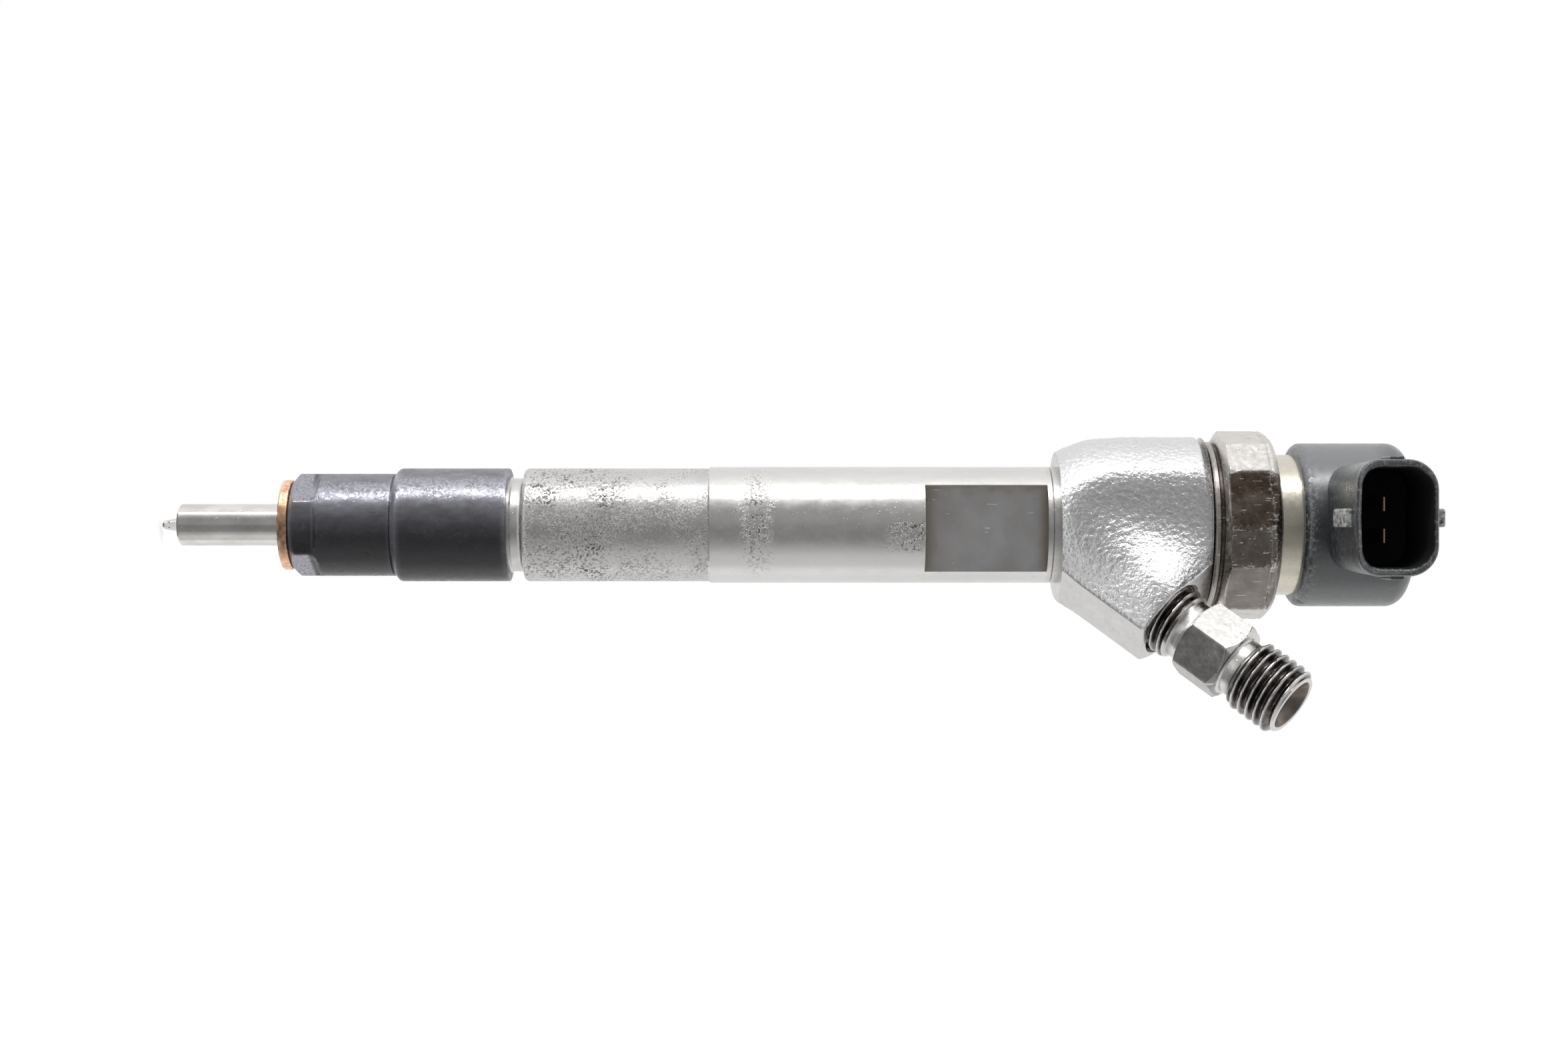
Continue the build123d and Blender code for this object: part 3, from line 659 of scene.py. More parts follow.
def crisp(obj, degrees):
    """Shades an object's edges sharp where they turn by more than an angle."""
    obj.data.set_sharp_from_angle(angle=math.radians(degrees))


def tidy(obj, sharp=38):
    """Merges coincident points, drops what that flattens and keeps edges crisp above an angle."""
    work = bmesh.new()
    work.from_mesh(obj.data)
    bmesh.ops.remove_doubles(work, verts=work.verts, dist=0.002 * MM)
    bmesh.ops.dissolve_degenerate(work, edges=work.edges, dist=0.001 * MM)
    bmesh.ops.recalc_face_normals(work, faces=work.faces)
    work.to_mesh(obj.data)
    work.free()
    crisp(obj, sharp)


def combine(obj, tool, operation):
    """Joins a second mesh to a first, or cuts it away, and removes the second."""
    change = obj.modifiers.new(operation.lower(), "BOOLEAN")
    change.operation = operation
    change.solver = "EXACT"
    change.material_mode = "TRANSFER"
    change.object = tool
    bpy.context.view_layer.update()
    graph = bpy.context.evaluated_depsgraph_get()
    made = bpy.data.meshes.new_from_object(obj.evaluated_get(graph))
    obj.modifiers.clear()
    obj.data = made
    bpy.data.objects.remove(tool)


def place(obj, node, body="housing"):
    """Makes a piece stand for a CAD node: hides the node and puts the piece on a body."""
    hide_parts(node)
    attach(obj, body)


def even_angles(count, *extra):
    """Angles all round, with extra ones at the corners that a shape needs."""
    even = np.arange(count) * FULL_TURN / count
    return np.unique(np.round(np.concatenate([even, np.array(extra) % FULL_TURN]), 6))


def soft_max(a, b, width):
    """The larger of two values, rounded over where they are within width of each other."""
    near = np.clip(width - np.abs(a - b), 0, None)
    return np.maximum(a, b) + near * near / (4 * width)


def soft_min(a, b, width):
    return -soft_max(-a, -b, width)


def prism(angles, distance, sides, turn):
    """The radius of a regular prism's faces, each at a distance from the axis, one facing turn."""
    part = FULL_TURN / sides
    offset = (angles - turn + part / 2) % part - part / 2
    return distance / np.cos(offset)


def hexagon_corners(turn, off_corner=0.0):
    """The angles of a hexagon's corners, one of whose faces faces turn, or of each side of them."""
    middles = [turn + math.radians(60 * k + 30) for k in range(6)]
    return [middle + side * off_corner for middle in middles for side in ((-1, 1) if off_corner else (0,))]


def bell(values, middle, width):
    return np.exp(-(((values - middle) / width) ** 2))


def apart(angles, turn):
    """How far each angle is from a direction, from 0 to pi."""
    return np.abs((angles - turn + math.pi) % FULL_TURN - math.pi)


def facing(angles, turn, half_width):
    """1 within half_width of a direction and 0 outside, with a short soft edge."""
    return np.clip((half_width - apart(angles, turn)) / 0.05 + 0.5, 0, 1)


def towards(angles, degrees, width):
    """1 in a direction, which is given in degrees, fading out over about width radians."""
    return bell(apart(angles, math.radians(degrees)), 0, width)


# ---- the injector's body ------------------------------------------------------------------------

inlet_place, inlet_dir = mount("fuel_inlet")
inlet_turn = math.atan2(inlet_dir[1], inlet_dir[0])
inlet_side = np.array([-math.sin(inlet_turn), math.cos(inlet_turn), 0.0])
inlet_up = np.cross(inlet_dir, inlet_side)
inlet_axes = (inlet_side, inlet_up, inlet_dir)
inlet_foot = inlet_place - inlet_dir * math.hypot(*inlet_place[:2]) / math.hypot(*inlet_dir[:2])

flat_place, flat_axis = mount("clamp_flat_front")
flat_turn = math.atan2(flat_axis[1], flat_axis[0])
flat_distance = math.hypot(*flat_place[:2])

BODY_Z = 24.0
THREAD_R = 8.0
NECK_END_Z = 40.2
ROUGH_R = 9.4
ROUGHEST_Z = 49.0
GROUND_Z = 70.6
GROUND_R = 9.65
FLAT_Z = (106.2, 126.25)
HEAD_Z = 128.2
HEAD_END_Z = 152.3
HEAD_R = 14.6
SPIGOT_R = 12.5
SPIGOT_END_Z = 159.5
PRESSED_TURN = math.radians(4)
PRESSED_DISTANCE = 12.6
BOSS_END = 28.0
BOSS_FLAT = 7.7
HOLE_R = 6.15
HOLE_FOOT = 19.5
TURNED, PITTED, GROUND, MILLED, FORGED, MACHINED, BORE = range(7)
BODY_LOOKS = (
    "body_machined", "body_pitted", "body_ground", "body_milled",
    "body_forged", "body_machined", "ground_steel",
)


def head_radius(z):
    """The forged head's own radius before the inlet boss joins it."""
    heights = [HEAD_Z, 129.5, 131.8, 133.5, 135.4, 139.0, 151.1, HEAD_END_Z]
    return np.interp(z, heights, [12.1, 12.8, 13.65, 14.05, 14.35, HEAD_R, HEAD_R, 13.3])


def head_field(points):
    """Below 0 inside the forging of the head and its inlet boss."""
    radial = np.hypot(points[..., 0], points[..., 1])
    pressed_dir = np.array([-math.sin(PRESSED_TURN), -math.cos(PRESSED_TURN)])
    pressed = points[..., :2] @ pressed_dir - PRESSED_DISTANCE
    head = soft_max(radial - head_radius(points[..., 2]), pressed, 1.2)
    rel = points - inlet_foot
    down = -(rel @ inlet_up)
    across = np.abs(rel @ inlet_side)
    out = rel @ inlet_dir
    half_width = 7.2 + 2.0 * (1 - np.exp(-np.clip(BOSS_END - out, 0, None) / 3.0))
    side = across - half_width - 0.15 * np.clip(down - 1.0, None, 0)
    cheek = 0.581 * down + 0.814 * across - 7.65
    boss = soft_max(soft_max(side, cheek, 3.0), soft_max(-out, -down - 11.0, 1.0), 1.0)
    return soft_min(head, boss, 3.6)


def machined_field(points):
    """Below 0 on the kept side of the two faces that are cut on the inlet boss."""
    rel = points - inlet_foot
    end = rel @ inlet_dir - BOSS_END
    flat = -(rel @ inlet_up) - BOSS_FLAT
    return end, flat


def outermost(angles, z):
    """The radius in each direction where the head's surface lies at a height, and where it is cut."""
    low = np.full(len(angles), 8.0)
    high = np.full(len(angles), 42.0)
    ring = np.stack([np.cos(angles), np.sin(angles), np.zeros(len(angles))], -1)
    for _ in range(26):
        middle = (low + high) / 2
        points = ring * middle[:, None] + np.array([0, 0, z])
        end, flat = machined_field(points)
        field = soft_max(soft_max(head_field(points), end, 0.35), flat, 0.35)
        low = np.where(field < 0, middle, low)
        high = np.where(field < 0, high, middle)
    points = ring * low[:, None] + np.array([0, 0, z])
    end, flat = machined_field(points)
    cut = np.maximum(end, flat) > head_field(points) - 0.02
    return low, cut


def body_angles():
    """Angles round the body, closer together where the boss stands out, with the flats' edges."""
    degrees = np.concatenate([
        np.arange(25, 190, 1.8), np.arange(190, 284, 0.7), np.arange(284, 312, 0.35),
        np.arange(312, 328, 0.8), np.arange(328, 356, 0.35), np.arange(356, 385, 0.8),
    ])
    edge = math.acos(flat_distance / GROUND_R)
    corners = [flat_turn + half * math.pi + side * edge for half in (0, 1) for side in (-1, 1)]
    angles = np.concatenate([np.radians(degrees), corners]) % FULL_TURN
    return np.sort(np.unique(np.round(angles, 6)))


def body_outline():
    """Up the outside of the body, without its boss, and down its bores."""
    flat_low, flat_high = FLAT_Z
    return run(
        (3.6, BODY_Z, 9, BORE), (7.1, BODY_Z, 9, TURNED), (7.1, 26.5, 9, TURNED), (THREAD_R, 26.5, 9, TURNED),
        (THREAD_R, 37.9, 0.4, TURNED), (7.75, 38.2, 0.4, TURNED), (7.75, 39.6, 0.4, TURNED),
        (8.2, NECK_END_Z, 0.4, TURNED), (9.1, NECK_END_Z, 0.4, PITTED),
        (ROUGH_R, NECK_END_Z + 0.45, 0.42, PITTED), (ROUGH_R, GROUND_Z, 0.3, GROUND),
        (GROUND_R, GROUND_Z + 0.3, 0.9, GROUND), (GROUND_R, flat_low - 0.01, 0.1, MILLED),
        (GROUND_R, flat_low, 1.6, MILLED), (GROUND_R, flat_high, 0.1, TURNED),
        (GROUND_R, flat_high + 0.01, 0.3, TURNED), (GROUND_R, 127.0, 0.1, TURNED),
        (GROUND_R - 0.18, 127.12, 0.1, TURNED), (GROUND_R, 127.24, 0.3, TURNED),
        (GROUND_R, HEAD_Z, 2, MACHINED), (12.1, HEAD_Z, 0.28, FORGED),
        (HEAD_R, HEAD_END_Z - 0.02, 0.1, MACHINED), (13.3, HEAD_END_Z, 1, MACHINED),
        (SPIGOT_R, HEAD_END_Z, 1, TURNED), (SPIGOT_R, SPIGOT_END_Z, 1, BORE),
        (11.7, SPIGOT_END_Z, 3, BORE), (11.7, 157.3, 3, BORE), (10.55, 157.3, 3, BORE),
        (10.55, 154.0, 3, BORE), (10.0, 154.0, 3, BORE), (10.0, 147.0, 3, BORE), (8.0, 147.0, 9, BORE),
        (8.0, 140.0, 3, BORE), (6.95, 140.0, 9, BORE), (6.95, 134.0, 3, BORE), (5.0, 134.0, 3, BORE),
        (5.0, 132.6, 3, BORE), (3.9, 132.6, 9, BORE), (3.9, 118.0, 3, BORE), (2.17, 117.0, 30, BORE),
        (2.17, 48.0, 3, BORE), (3.6, 48.0, 30, BORE),
    )


def body_marks(points, heights, angles, rough, patches, grain):
    """Where the body is pitted, and where its clamp flats are stained."""
    ring = bell(heights, 78.6, 2.0)[:, None] * np.clip(1.25 - apart(angles, math.radians(-95)), 0, 1)
    edge = bell(heights, 104.0, 3.0)[:, None] * facing(angles, math.radians(-78), 0.25)
    eaten = np.where(heights < GROUND_Z + 0.3, 0.35 + 0.65 * rough, 0)[:, None] * (0.4 + 0.6 * patches)
    low_end, high_end = FLAT_Z
    stain = bell(heights, low_end, 1.8)[:, None] + bell(heights, high_end, 1.2)[:, None]
    stain = stain + bell(points[..., 0], -6.6, 1.8) * (0.7 + 0.8 * grain.at(points, 1.2))
    return {"pits": eaten + ring + edge, "stain": stain}


def inlet_hole():
    """What is cut out of the boss for the inlet fitting."""
    radii, along, faces = run(
        (0, HOLE_FOOT, 9, 0), (HOLE_R, HOLE_FOOT, 9, 0), (HOLE_R, BOSS_END - 0.45, 9, 0),
        (6.6, BOSS_END, 9, 0), (6.9, BOSS_END + 0.3, 9, 0), (0, BOSS_END + 0.3, 9, 0),
    )
    points = around(radii, along, even_angles(96), inlet_foot, inlet_axes)
    hole = skin("inlet_hole", points, faces, ["stained_steel"])
    tidy(hole)
    return hole


def injector_body():
    """The turned and ground shank with its clamp flats, and the forged head with its inlet boss."""
    angles = body_angles()
    radii, heights, faces = body_outline()
    grid = rings(radii, angles)
    face_grid = rings(faces, angles)
    outside = np.arange(len(radii)) < int(np.argmax(heights > SPIGOT_END_Z - 0.1))

    low_end, high_end = FLAT_Z
    flats = prism(angles, flat_distance, 2, flat_turn)
    in_flat = (heights >= low_end - 1e-6) & (heights <= high_end + 1e-6) & outside
    grid[in_flat] = np.minimum(grid[in_flat], flats)
    face_grid[in_flat] = np.where(flats < GROUND_R - 0.01, MILLED, GROUND)
    face_grid[(faces == MILLED) & ~in_flat] = MILLED

    in_head = faces == FORGED
    in_head[int(np.flatnonzero(in_head)[-1]) + 1] = True
    for row in np.flatnonzero(in_head):
        surface, cut = outermost(angles, min(heights[row], HEAD_END_Z))
        grid[row] = surface
        if faces[row] == FORGED:
            face_grid[row] = np.where(cut, MACHINED, FORGED)

    points = around(grid, heights, angles)
    grain = Grain(11)
    forged = (face_grid == FORGED) & in_head[:, None]
    inward = np.clip((HEAD_END_Z - heights) / 0.5, 0, 1) * np.clip((heights - HEAD_Z) / 0.5, 0, 1)
    relief = 0.085 * grain.at(points, 0.75) + 0.03 * grain.at(points, 2.0) + 0.04 * grain.at(points, 7.0)
    pitted = (heights > NECK_END_Z + 0.4) & (heights < GROUND_Z + 0.1) & outside
    rough = bell(heights, ROUGHEST_Z, 13.0)
    patches = np.clip(grain.at(points, 5.0) * 2.4 + 0.75, 0, 1)
    eaten = np.clip(grain.at(points, 0.85) + 0.25 * grain.at(points, 0.45) - 0.08, 0, None)
    grid = grid + np.where(forged, relief * inward[:, None], 0)
    grid = grid - np.where(pitted[:, None], 0.17 * eaten * patches * (0.25 + 0.75 * rough[:, None]), 0)
    points = around(grid, heights, angles)

    marks = body_marks(points, heights, angles, rough, patches, grain)
    obj = skin("injector_body_skin", points, face_grid, BODY_LOOKS, marks)
    tidy(obj)
    combine(obj, inlet_hole(), "DIFFERENCE")
    crisp(obj, 38)
    place(obj, "injector_body")


# ---- washer, nozzle nut, inlet fitting and solenoid nut -----------------------------------------


def combustion_seal_washer():
    """A flattened ring whose edge is burnt brown on one side."""
    inner_r, outer_r, thick, corner = 3.55, 7.5, 1.6, 0.3
    angles = even_angles(180)
    edge = arc(outer_r - corner, corner, corner, corner, np.linspace(0, 90, 6), 0.1)
    back = arc(outer_r - corner, thick - corner, corner, corner, np.linspace(90, 180, 6), 0.1)
    radii, heights, faces = run(*edge, *back, (inner_r, thick, 0.4, 0), (inner_r, 0, 0.6, 0))
    grid = rings(radii, angles)
    grain = Grain(3)
    uneven = grain.lumps(around(grid, heights, angles), 1.4, -0.2) * 0.12
    grid = grid - np.where(radii[:, None] > 7.1, uneven, 0)
    points = around(grid, heights, angles)
    burnt = towards(angles, -80, 0.75) * (0.75 + 0.6 * grain.at(points, 0.7))
    obj = skin("combustion_seal_washer_skin", points, faces, ["copper"], {"burnt": burnt})
    tidy(obj, 50)
    place(obj, "combustion_seal_washer")


def nozzle_retaining_nut():
    """A shouldered nut with hexagon flats at its front, with a painted highlight along its upper side and on
    two hexagon facets, and rubbed edges.
    """
    low, high = span("nozzle_retaining_nut")
    front_r, rear_r, shoulder_z = 8.5, 9.4, 18.4
    hex_turn = math.radians(34)
    hex_distance, hex_end_z = 7.5, 5.6
    angles = even_angles(216, *hexagon_corners(hex_turn))
    radii, heights, faces = run(
        (3.6, low, 2, 0), (7.0, low, 0.2, 0), (7.15, low + 0.08, 0.2, 0), (8.45, low + 1.15, 0.1, 0),
        (front_r, low + 1.3, 0.22, 0), (front_r, shoulder_z, 0.3, 0), (8.32, shoulder_z + 0.15, 0.3, 0),
        (9.25, shoulder_z + 0.95, 0.3, 0), (rear_r, shoulder_z + 1.35, 0.7, 0), (rear_r, high - 0.25, 0.1, 0),
        (9.33, high - 0.08, 0.1, 0), (9.15, high, 1, 0), (8.0, high, 9, 1), (8.0, 26.5, 3, 1),
        (7.2, 26.5, 9, 1), (7.2, 6.6, 3, 1), (3.6, 6.6, 3, 1),
    )
    outside = np.arange(len(radii)) < int(np.argmax(heights > high - 0.01))
    grid = rings(radii, angles)
    run_out = np.clip(heights - hex_end_z, 0, None) ** 2 * 0.9
    flats = prism(angles, hex_distance, 6, hex_turn)[None] + run_out[:, None]
    near_front = outside & (heights < 7.2)
    grid[near_front] = np.minimum(grid[near_front], flats[near_front])
    grain = Grain(5)
    points = around(grid, heights, angles)
    dents = grain.lumps(points, 1.6, 0.34) * 0.5
    wave = 0.008 * grain.at(points, 6.0)
    grid = grid + np.where(outside[:, None] & (radii[:, None] > 8.2), wave - dents, 0)
    points = around(grid, heights, angles)
    edges = bell(heights, 19.0, 0.7) + bell(heights, 1.9, 0.4) + bell(heights, 37.3, 0.4)
    # Painted highlight: the hexagon's top facet and one lower facet are made lighter as if they caught the
    # light.
    top_facet, low_facet = [facing(angles, hex_turn + math.radians(turn), 0.5) for turn in (-180, -60)]
    facets = np.clip((5.4 - heights) / 0.4, 0, 1)[:, None] * (0.8 * top_facet + low_facet)
    # Painted sheen along the upper side, towards -133 degrees, and the painted facet highlights; only the
    # edge bands stand for real rubbing.
    wear_and_sheen = 0.97 * towards(angles, -133, 0.55) + 0.25 * edges[:, None] + facets + 0.02
    nut_looks = ["black_phosphate", "ground_steel"]
    obj = skin("nozzle_retaining_nut_skin", points, faces, nut_looks, {"wear_and_sheen": wear_and_sheen})
    tidy(obj, 30)
    place(obj, "nozzle_retaining_nut")


def thread(angles, along, start, end, pitch=1.5, depth=0.9):
    """How far a right-hand thread is cut below its crest, 0 outside it and fading at its ends."""
    turns = along[:, None] / pitch - angles / FULL_TURN
    wave = np.abs((turns % 1.0) - 0.5) * 2
    cut = np.clip(1.12 - wave * 1.24, 0, 1)
    cut = cut * cut * (3 - 2 * cut) * 0.35 + cut * 0.65
    inside = np.clip((along - start) / 0.5, 0, 1) * np.clip((end - along) / 0.25, 0, 1)
    return depth * cut * inside[:, None]


def inlet_fitting():
    """A fitting with a thread at each end and a hexagon between them."""
    hex_turn = math.radians(24.7 + 30)
    hex_distance, hex_start, hex_end = 6.0, 32.9, 41.19
    thread_r, end = 6.0, 52.4
    angles = even_angles(180, *hexagon_corners(hex_turn))
    radii, along, faces = run(
        (1.2, 18.3, 2, 0), (4.3, 18.3, 2, 0), (4.3, 20.0, 2, 0), (5.5, 20.0, 2, 0), (thread_r, 20.5, 4, 0),
        (thread_r, 26.5, 0.12, 0), (thread_r, 30.2, 0.12, 0), (5.15, 30.8, 0.3, 0), (5.05, 31.2, 0.5, 0),
        (5.05, 32.6, 0.15, 0), (5.25, 33.0, 0.3, 0), (5.8, 33.0, 0.3, 0), (6.8, 33.55, 0.2, 0),
        (7.05, 33.8, 0.4, 0), (7.05, 40.2, 0.2, 0), (5.95, 41.15, 0.2, 0), (5.1, 41.2, 0.2, 0),
        (4.85, 41.5, 0.4, 0), (4.85, 43.1, 0.2, 0), (5.9, 43.9, 0.12, 0), (thread_r, 44.1, 0.12, 0),
        (thread_r, end - 1.15, 0.12, 0), (4.95, end - 0.05, 0.1, 0), (4.85, end, 0.3, 0),
        (4.45, end, 0.1, 0), (4.3, end - 0.12, 0.4, 1), (1.9, end - 4.2, 1, 1), (1.9, 28.0, 5, 1),
        (1.2, 28.0, 5, 1),
    )
    outside = np.arange(len(radii)) < int(np.argmax(along > end - 0.01))
    grid = rings(radii, angles)
    cut = thread(angles, along, 26.0, 30.4) * (outside & (along < 31))[:, None]
    cut += thread(angles, along, 43.6, end - 0.2) * (outside & (along > 43))[:, None]
    grid -= cut
    in_hex = outside & (along > hex_start) & (along < hex_end)
    grid[in_hex] = np.minimum(grid[in_hex], prism(angles, hex_distance, 6, hex_turn))
    grain = Grain(23)
    dents = grain.lumps(around(grid, along, angles, inlet_foot, inlet_axes), 1.1, 0.38) * 0.35
    grid = grid - np.where(outside[:, None] & (cut < 0.01), dents, 0)
    points = around(grid, along, angles, inlet_foot, inlet_axes)
    necks = bell(along, 43.2, 0.5) + bell(along, 31.2, 0.5)
    # Painted shade: darker in the thread roots and the two necks, and a little all over.
    dark = 0.06 + 1.1 * np.clip(cut / 0.3, 0, 1) + 0.5 * necks[:, None]
    # Painted shade on the hexagon facets that face -Y and towards the nozzle end.
    for facet in range(6):
        turn = hex_turn + math.radians(60 * facet)
        normal = math.cos(turn) * inlet_side + math.sin(turn) * inlet_up
        if normal[1] < 0 and normal[2] < -0.3:
            dark = dark + 0.62 * in_hex[:, None] * facing(angles, turn, 0.5)
    obj = skin("inlet_fitting_skin", points, faces, ["fitting_steel", "stained_steel"], {"dark": dark})
    tidy(obj, 32)
    place(obj, "inlet_fitting")


def solenoid_retaining_nut():
    """A nut with six wide and six narrow faces behind a turned collar, brown and knocked about."""
    low, _ = span("solenoid_retaining_nut")
    high = 163.9
    hex_z, chamfer_z, rim_z = 154.2, 154.3, 161.75
    collar_r, outer_r = 13.8, 16.2
    wide_turn = math.radians(14.1)
    narrow_turn = wide_turn + math.radians(30)
    wide_half = math.radians(18.2)
    narrow_half = math.radians(11.8)
    angles = even_angles(288, *hexagon_corners(narrow_turn, wide_half))
    radii, heights, faces = run(
        (12.5, low, 1, 0), (13.3, low, 0.1, 0), (13.65, low + 0.15, 0.1, 0), (collar_r, low + 0.45, 0.3, 0),
        (collar_r, 153.55, 0.1, 0), (13.6, 153.75, 0.1, 0), (13.3, 153.85, 0.2, 0), (13.3, hex_z, 0.1, 0),
        (13.75, 154.25, 0.2, 0), (14.1, chamfer_z, 0.2, 0), (outer_r, 155.6, 0.3, 0),
        (outer_r, 161.2, 0.2, 0), (15.75, 162.1, 0.2, 0), (14.4, 163.3, 0.2, 0), (12.4, high, 0.2, 0),
        (11.75, high, 2, 1), (11.75, 161.5, 2, 1), (12.5, 161.5, 3, 1),
    )
    outside = np.arange(len(radii)) < int(np.argmax(heights > high - 0.01))
    flats = np.minimum(prism(angles, 14.9, 6, wide_turn), prism(angles, 15.35, 6, narrow_turn))
    grid = rings(radii, angles)
    in_hex = outside & (heights > hex_z)
    groove = 0.16 * bell(heights, rim_z, 0.10)
    grid[in_hex] = np.minimum(grid[in_hex], flats - groove[in_hex, None])
    grain = Grain(42)
    points = around(grid, heights, angles)
    past_collar = heights[:, None] > chamfer_z
    from_narrow = np.abs(((angles - narrow_turn) % math.radians(60)) - math.radians(30))
    near_edge = bell(from_narrow, wide_half, 0.045) * past_collar
    rim = bell(heights, 161.9, 0.9)[:, None] + 0.6 * bell(heights, 155.2, 0.5)[:, None]
    knocks = grain.lumps(points, 0.9, 0.22) * (0.5 * near_edge + 0.35 * rim)
    dents = grain.lumps(points, 1.5, 0.40) * 1.2
    grid = grid - np.where(outside[:, None], knocks + dents * past_collar, 0)
    points = around(grid, heights, angles)

    brown = 0.45 * np.clip(np.sin(angles), 0, 1)
    stained = (-105.9, wide_half, 1), (-75.9, narrow_half, 0.7), (-45.9, wide_half, 0.62)
    for degrees, half_width, share in stained:
        brown = brown + share * facing(angles, math.radians(degrees), half_width)
    on_flat = np.clip((heights - 154.8) / 0.4, 0, 1)
    # The collar, the groove under the hexagon and the edge against the head are made darker with the oxide
    # colour.
    collar = 0.4 * (heights < 154.25) + 0.6 * bell(heights, 154.0, 0.3) + 0.5 * bell(heights, 152.4, 0.2)
    marks = {
        "oxide": brown * on_flat[:, None] + 0.12 + collar[:, None],
        "wear_and_sheen": 0.55 + 0.20 * near_edge + 0.16 * rim,
    }
    obj = skin("solenoid_retaining_nut_skin", points, faces, ["nut_steel", "ground_steel"], marks)
    tidy(obj, 24)
    place(obj, "solenoid_retaining_nut")


# ---- cap and connector --------------------------------------------------------------------------

(PLUG_X, _, PLUG_Z), _ = mount("electrical_connector")
CAP_FRONT_Z = 167.4
CAP_REAR_Z = 185.8
CAP_R = 13.56
CAP_BORE_R = 11.67
CORNER_POINTS = 11


def rounded(half_x, half_z, low_corner, high_corner):
    """The outline of a rounded rectangle, with one corner radius below and one above."""
    corners = [
        (1, 1, high_corner, 0), (-1, 1, high_corner, 90), (-1, -1, low_corner, 180), (1, -1, low_corner, 270),
    ]
    outline = []
    for side_x, side_z, radius, start in corners:
        radius = min(radius, half_x, half_z)
        for turn in np.radians(start + np.linspace(0, 90, CORNER_POINTS)):
            x = side_x * (half_x - radius) + radius * math.cos(turn)
            z = side_z * (half_z - radius) + radius * math.sin(turn)
            outline.append((x, z))
    dense = []
    for index, (a, b) in enumerate(zip(outline, outline[1:] + outline[:1])):
        parts = 8 if index % CORNER_POINTS == CORNER_POINTS - 1 else 1
        for step in range(parts):
            dense.append((a[0] + (b[0] - a[0]) * step / parts, a[1] + (b[1] - a[1]) * step / parts))
    return np.array(dense)


def connector_shell():
    """The open socket: from inside the cap out to its rim, and back down to its floor."""
    first_inside = (32.7, 7.85, 5.48, 2.7)
    stations = [
        (9.0, 0.01, 0.01, 1), (9.0, 8.5, 6.35, 3.5), (11.5, 8.5, 6.35, 3.5), (14.0, 8.55, 6.3, 3.4),
        (17.0, 8.65, 6.27, 3.3), (21.0, 8.8, 6.24, 3.2), (27.0, 8.9, 6.2, 3.1), (30.6, 8.95, 6.18, 3.1),
        (31.0, 9.02, 6.22, 3.1), (32.2, 9.05, 6.24, 3.1), (32.7, 8.98, 6.18, 3.1), (32.95, 8.8, 6.0, 3.0),
        (33.0, 8.55, 5.85, 2.9), (32.95, 8.1, 5.6, 2.8), first_inside, (32.0, 7.75, 5.42, 2.6),
        (26.0, 7.72, 5.4, 2.5), (20.0, 7.7, 5.4, 2.4), (15.3, 7.7, 5.4, 2.4), (15.0, 7.4, 5.1, 2.3),
        (15.0, 0.01, 0.01, 1),
    ]
    loops = []
    rubbed = []
    for reach, half_x, half_z, corner in stations:
        outline = rounded(half_x, half_z, corner * 1.1, corner * 1.5)
        bulge = 0.28 * bell(outline[:, 0], 0, 5.0) * np.clip(-outline[:, 1] / 6, 0, 1)
        depth = np.full(len(outline), -reach)
        loops.append(np.stack([PLUG_X + outline[:, 0], depth, PLUG_Z + outline[:, 1] - bulge], -1))
        on_rim = 32.6 < reach <= 33.0 and half_x > 8
        rubbed.append(np.full(len(outline), 0.5 if on_rim else 0.02))
    inside = np.arange(len(stations)) >= stations.index(first_inside)
    # The socket's inside takes the darker copy of the cap plastic, as painted shade.
    shell_looks = ["cap_plastic", "socket_plastic"]
    obj = skin("connector_shell", np.array(loops), inside, shell_looks, {"wear_and_sheen": np.array(rubbed)})
    tidy(obj, 40)
    return obj


def block(name, middle, size, bevel, look):
    """A moulded block with rounded edges, about its middle and in millimetres."""
    work = bmesh.new()
    bmesh.ops.create_cube(work, size=1.0)
    bmesh.ops.scale(work, vec=[length * MM for length in size], verts=work.verts)
    bmesh.ops.translate(work, vec=[value * MM for value in middle], verts=work.verts)
    bmesh.ops.bevel(work, geom=work.edges[:], offset=bevel * MM, segments=4, profile=0.6, affect="EDGES")
    mesh = bpy.data.meshes.new(name)
    work.to_mesh(mesh)
    work.free()
    mesh.materials.append(looks[look])
    mesh.polygons.foreach_set("use_smooth", np.ones(len(mesh.polygons), bool))
    obj = add_object(name, mesh)
    return obj


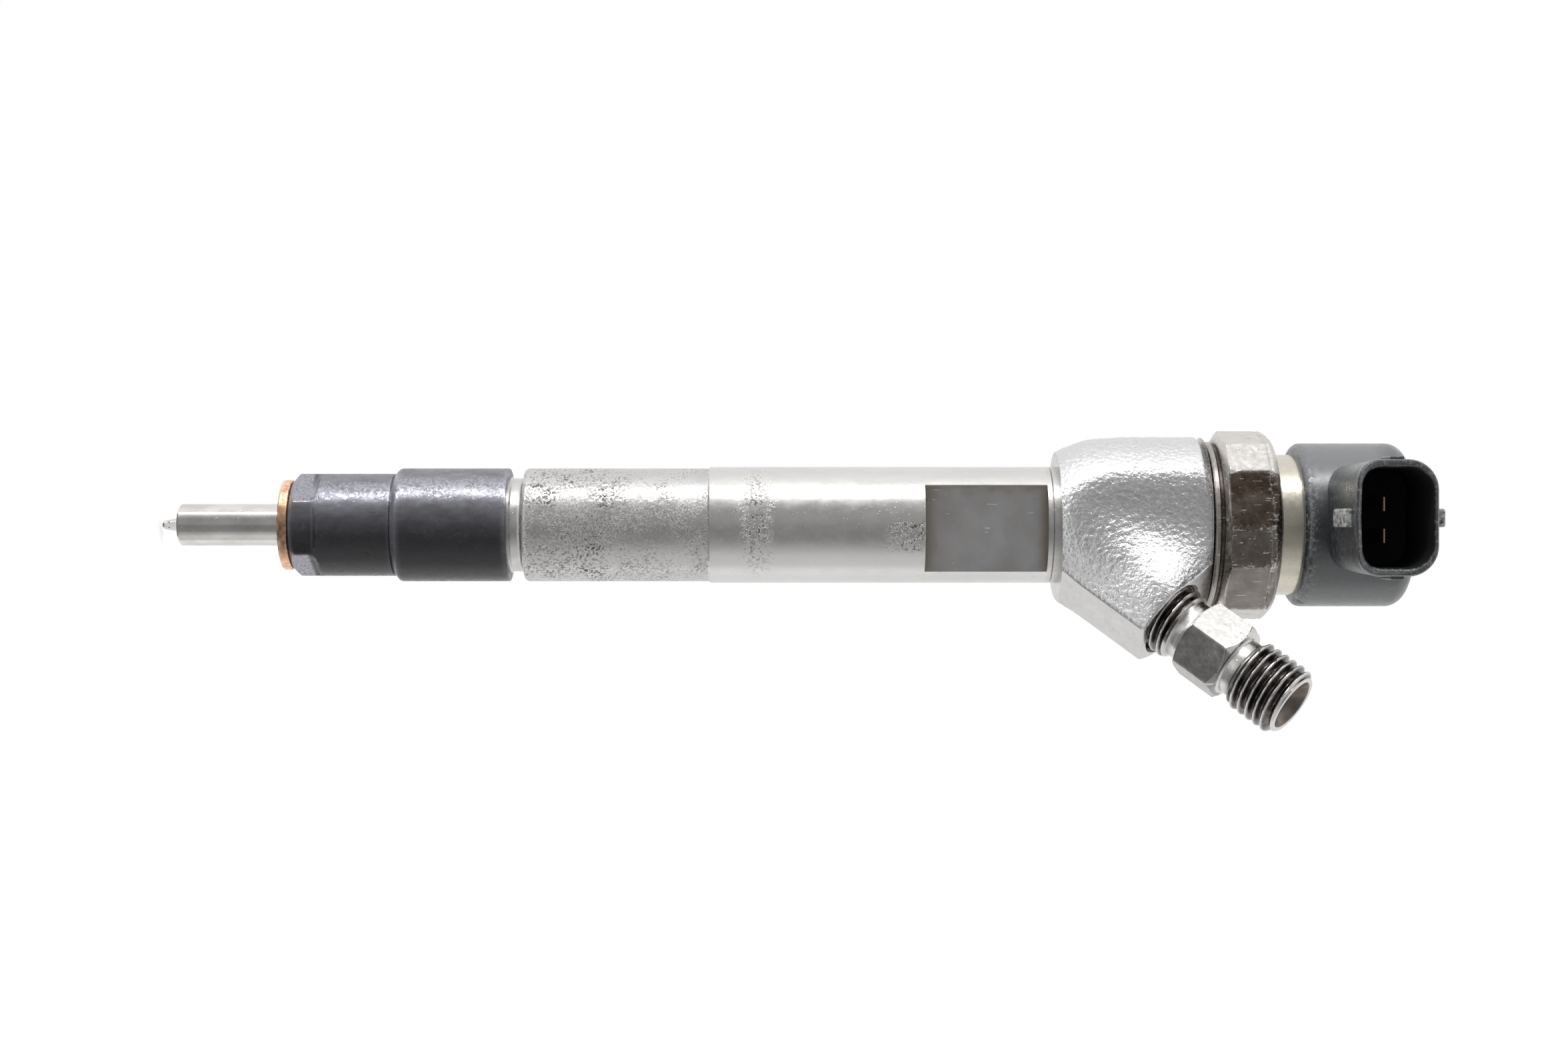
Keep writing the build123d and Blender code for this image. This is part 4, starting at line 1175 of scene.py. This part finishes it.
def cap():
    """The turned shape of the cap, chipped and scuffed along its front edge."""
    angles = even_angles(240)
    edge = arc(CAP_R - 1.4, CAP_FRONT_Z + 1.5, 1.4, 1.5, np.linspace(8, 90, 7), 0.3)
    fillet = arc(CAP_R - 3, CAP_REAR_Z - 3, 3, 3, np.linspace(90, 180, 10), 0.5)
    radii, heights, faces = run(
        (CAP_BORE_R, CAP_FRONT_Z, 0.3, 0), *edge, *fillet, (5.05, CAP_REAR_Z, 0.4, 0),
        (5.0, CAP_REAR_Z - 0.05, 6, 0), (5.0, 172.0, 2, 0), (3.0, 172.0, 4, 0), (3.0, 165.0, 3, 0),
        (9.95, 165.0, 3, 0), (9.95, 172.0, 2, 0), (CAP_BORE_R, 172.0, 2, 0),
    )
    grid = rings(radii, angles)
    outside = radii > CAP_BORE_R + 0.01
    points = around(grid, heights, angles)
    grain = Grain(77)
    chipped = towards(angles, -12, 0.16)
    chip = chipped * bell(heights, CAP_FRONT_Z + 0.4, 0.8)[:, None]
    ragged = grain.lumps(points, 0.9, -0.35)
    rough_edge = 0.12 * grain.at(points, 0.8) * bell(heights, CAP_FRONT_Z + 0.6, 0.8)[:, None]
    uneven = rough_edge - chip * ragged + 0.03 * grain.at(points, 9.0)
    grid = np.minimum(grid + np.where(outside[:, None], uneven, 0), CAP_R)
    points = around(grid, heights, angles)
    scuffed = bell(heights, CAP_FRONT_Z + 0.8, 1.0)[:, None] * (0.7 + 0.6 * chipped)
    from_rear = np.clip((CAP_REAR_Z - 2.0 - heights) / 4.0, 0.3, 1)
    marks = {
        "wear_and_sheen": 0.06 + scuffed + 0.25 * grain.lumps(points, 4.0, 0.2),
        # Painted highlight along the cap's upper side, towards -140 degrees, weaker towards the rear.
        "painted_highlight": towards(angles, -140, 0.55) * from_rear[:, None],
    }
    obj = skin("connector_housing_skin", points, faces, ["cap_plastic", "socket_plastic"], marks)
    tidy(obj, 45)
    return obj


def connector_housing():
    """The cap with its socket, a lug on each side of it and a rib at each end."""
    obj = cap()
    combine(obj, connector_shell(), "UNION")
    for z in (171.15, 184.6):
        lug = block("lug", (PLUG_X, -25.0, z), (2.9, 8.0, 2.4), 0.5, "scuffed_plastic")
        combine(obj, lug, "UNION")
    for side in (-1, 1):
        rib = block("rib", (PLUG_X + side * 9.1, -28.6, PLUG_Z), (0.9, 6.5, 2.2), 0.25, "cap_plastic")
        combine(obj, rib, "UNION")
    obj.data.polygons.foreach_set("use_smooth", np.ones(len(obj.data.polygons), bool))
    crisp(obj, 40)
    place(obj, "connector_housing")


# ---- springs ------------------------------------------------------------------------------------


def springs():
    """Coils that stand for the CAD springs, copied from their meshes."""
    for joint in frame["record"]["behaviour"]["joints"]:
        for row in joint["deforming_nodes"]:
            node = row["node"]
            cad_coil = frame["nodes"][node]
            coil = add_object(f"{node}_coil", cad_coil.data.copy())
            coil.matrix_world = cad_coil.matrix_world
            place(coil, node)
            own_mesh(coil)


# ---- put together -------------------------------------------------------------------------------

camera()
surround()
lamps()
floor()
dress_cad_nodes()
injector_body()
combustion_seal_washer()
nozzle_retaining_nut()
inlet_fitting()
solenoid_retaining_nut()
connector_housing()
springs()
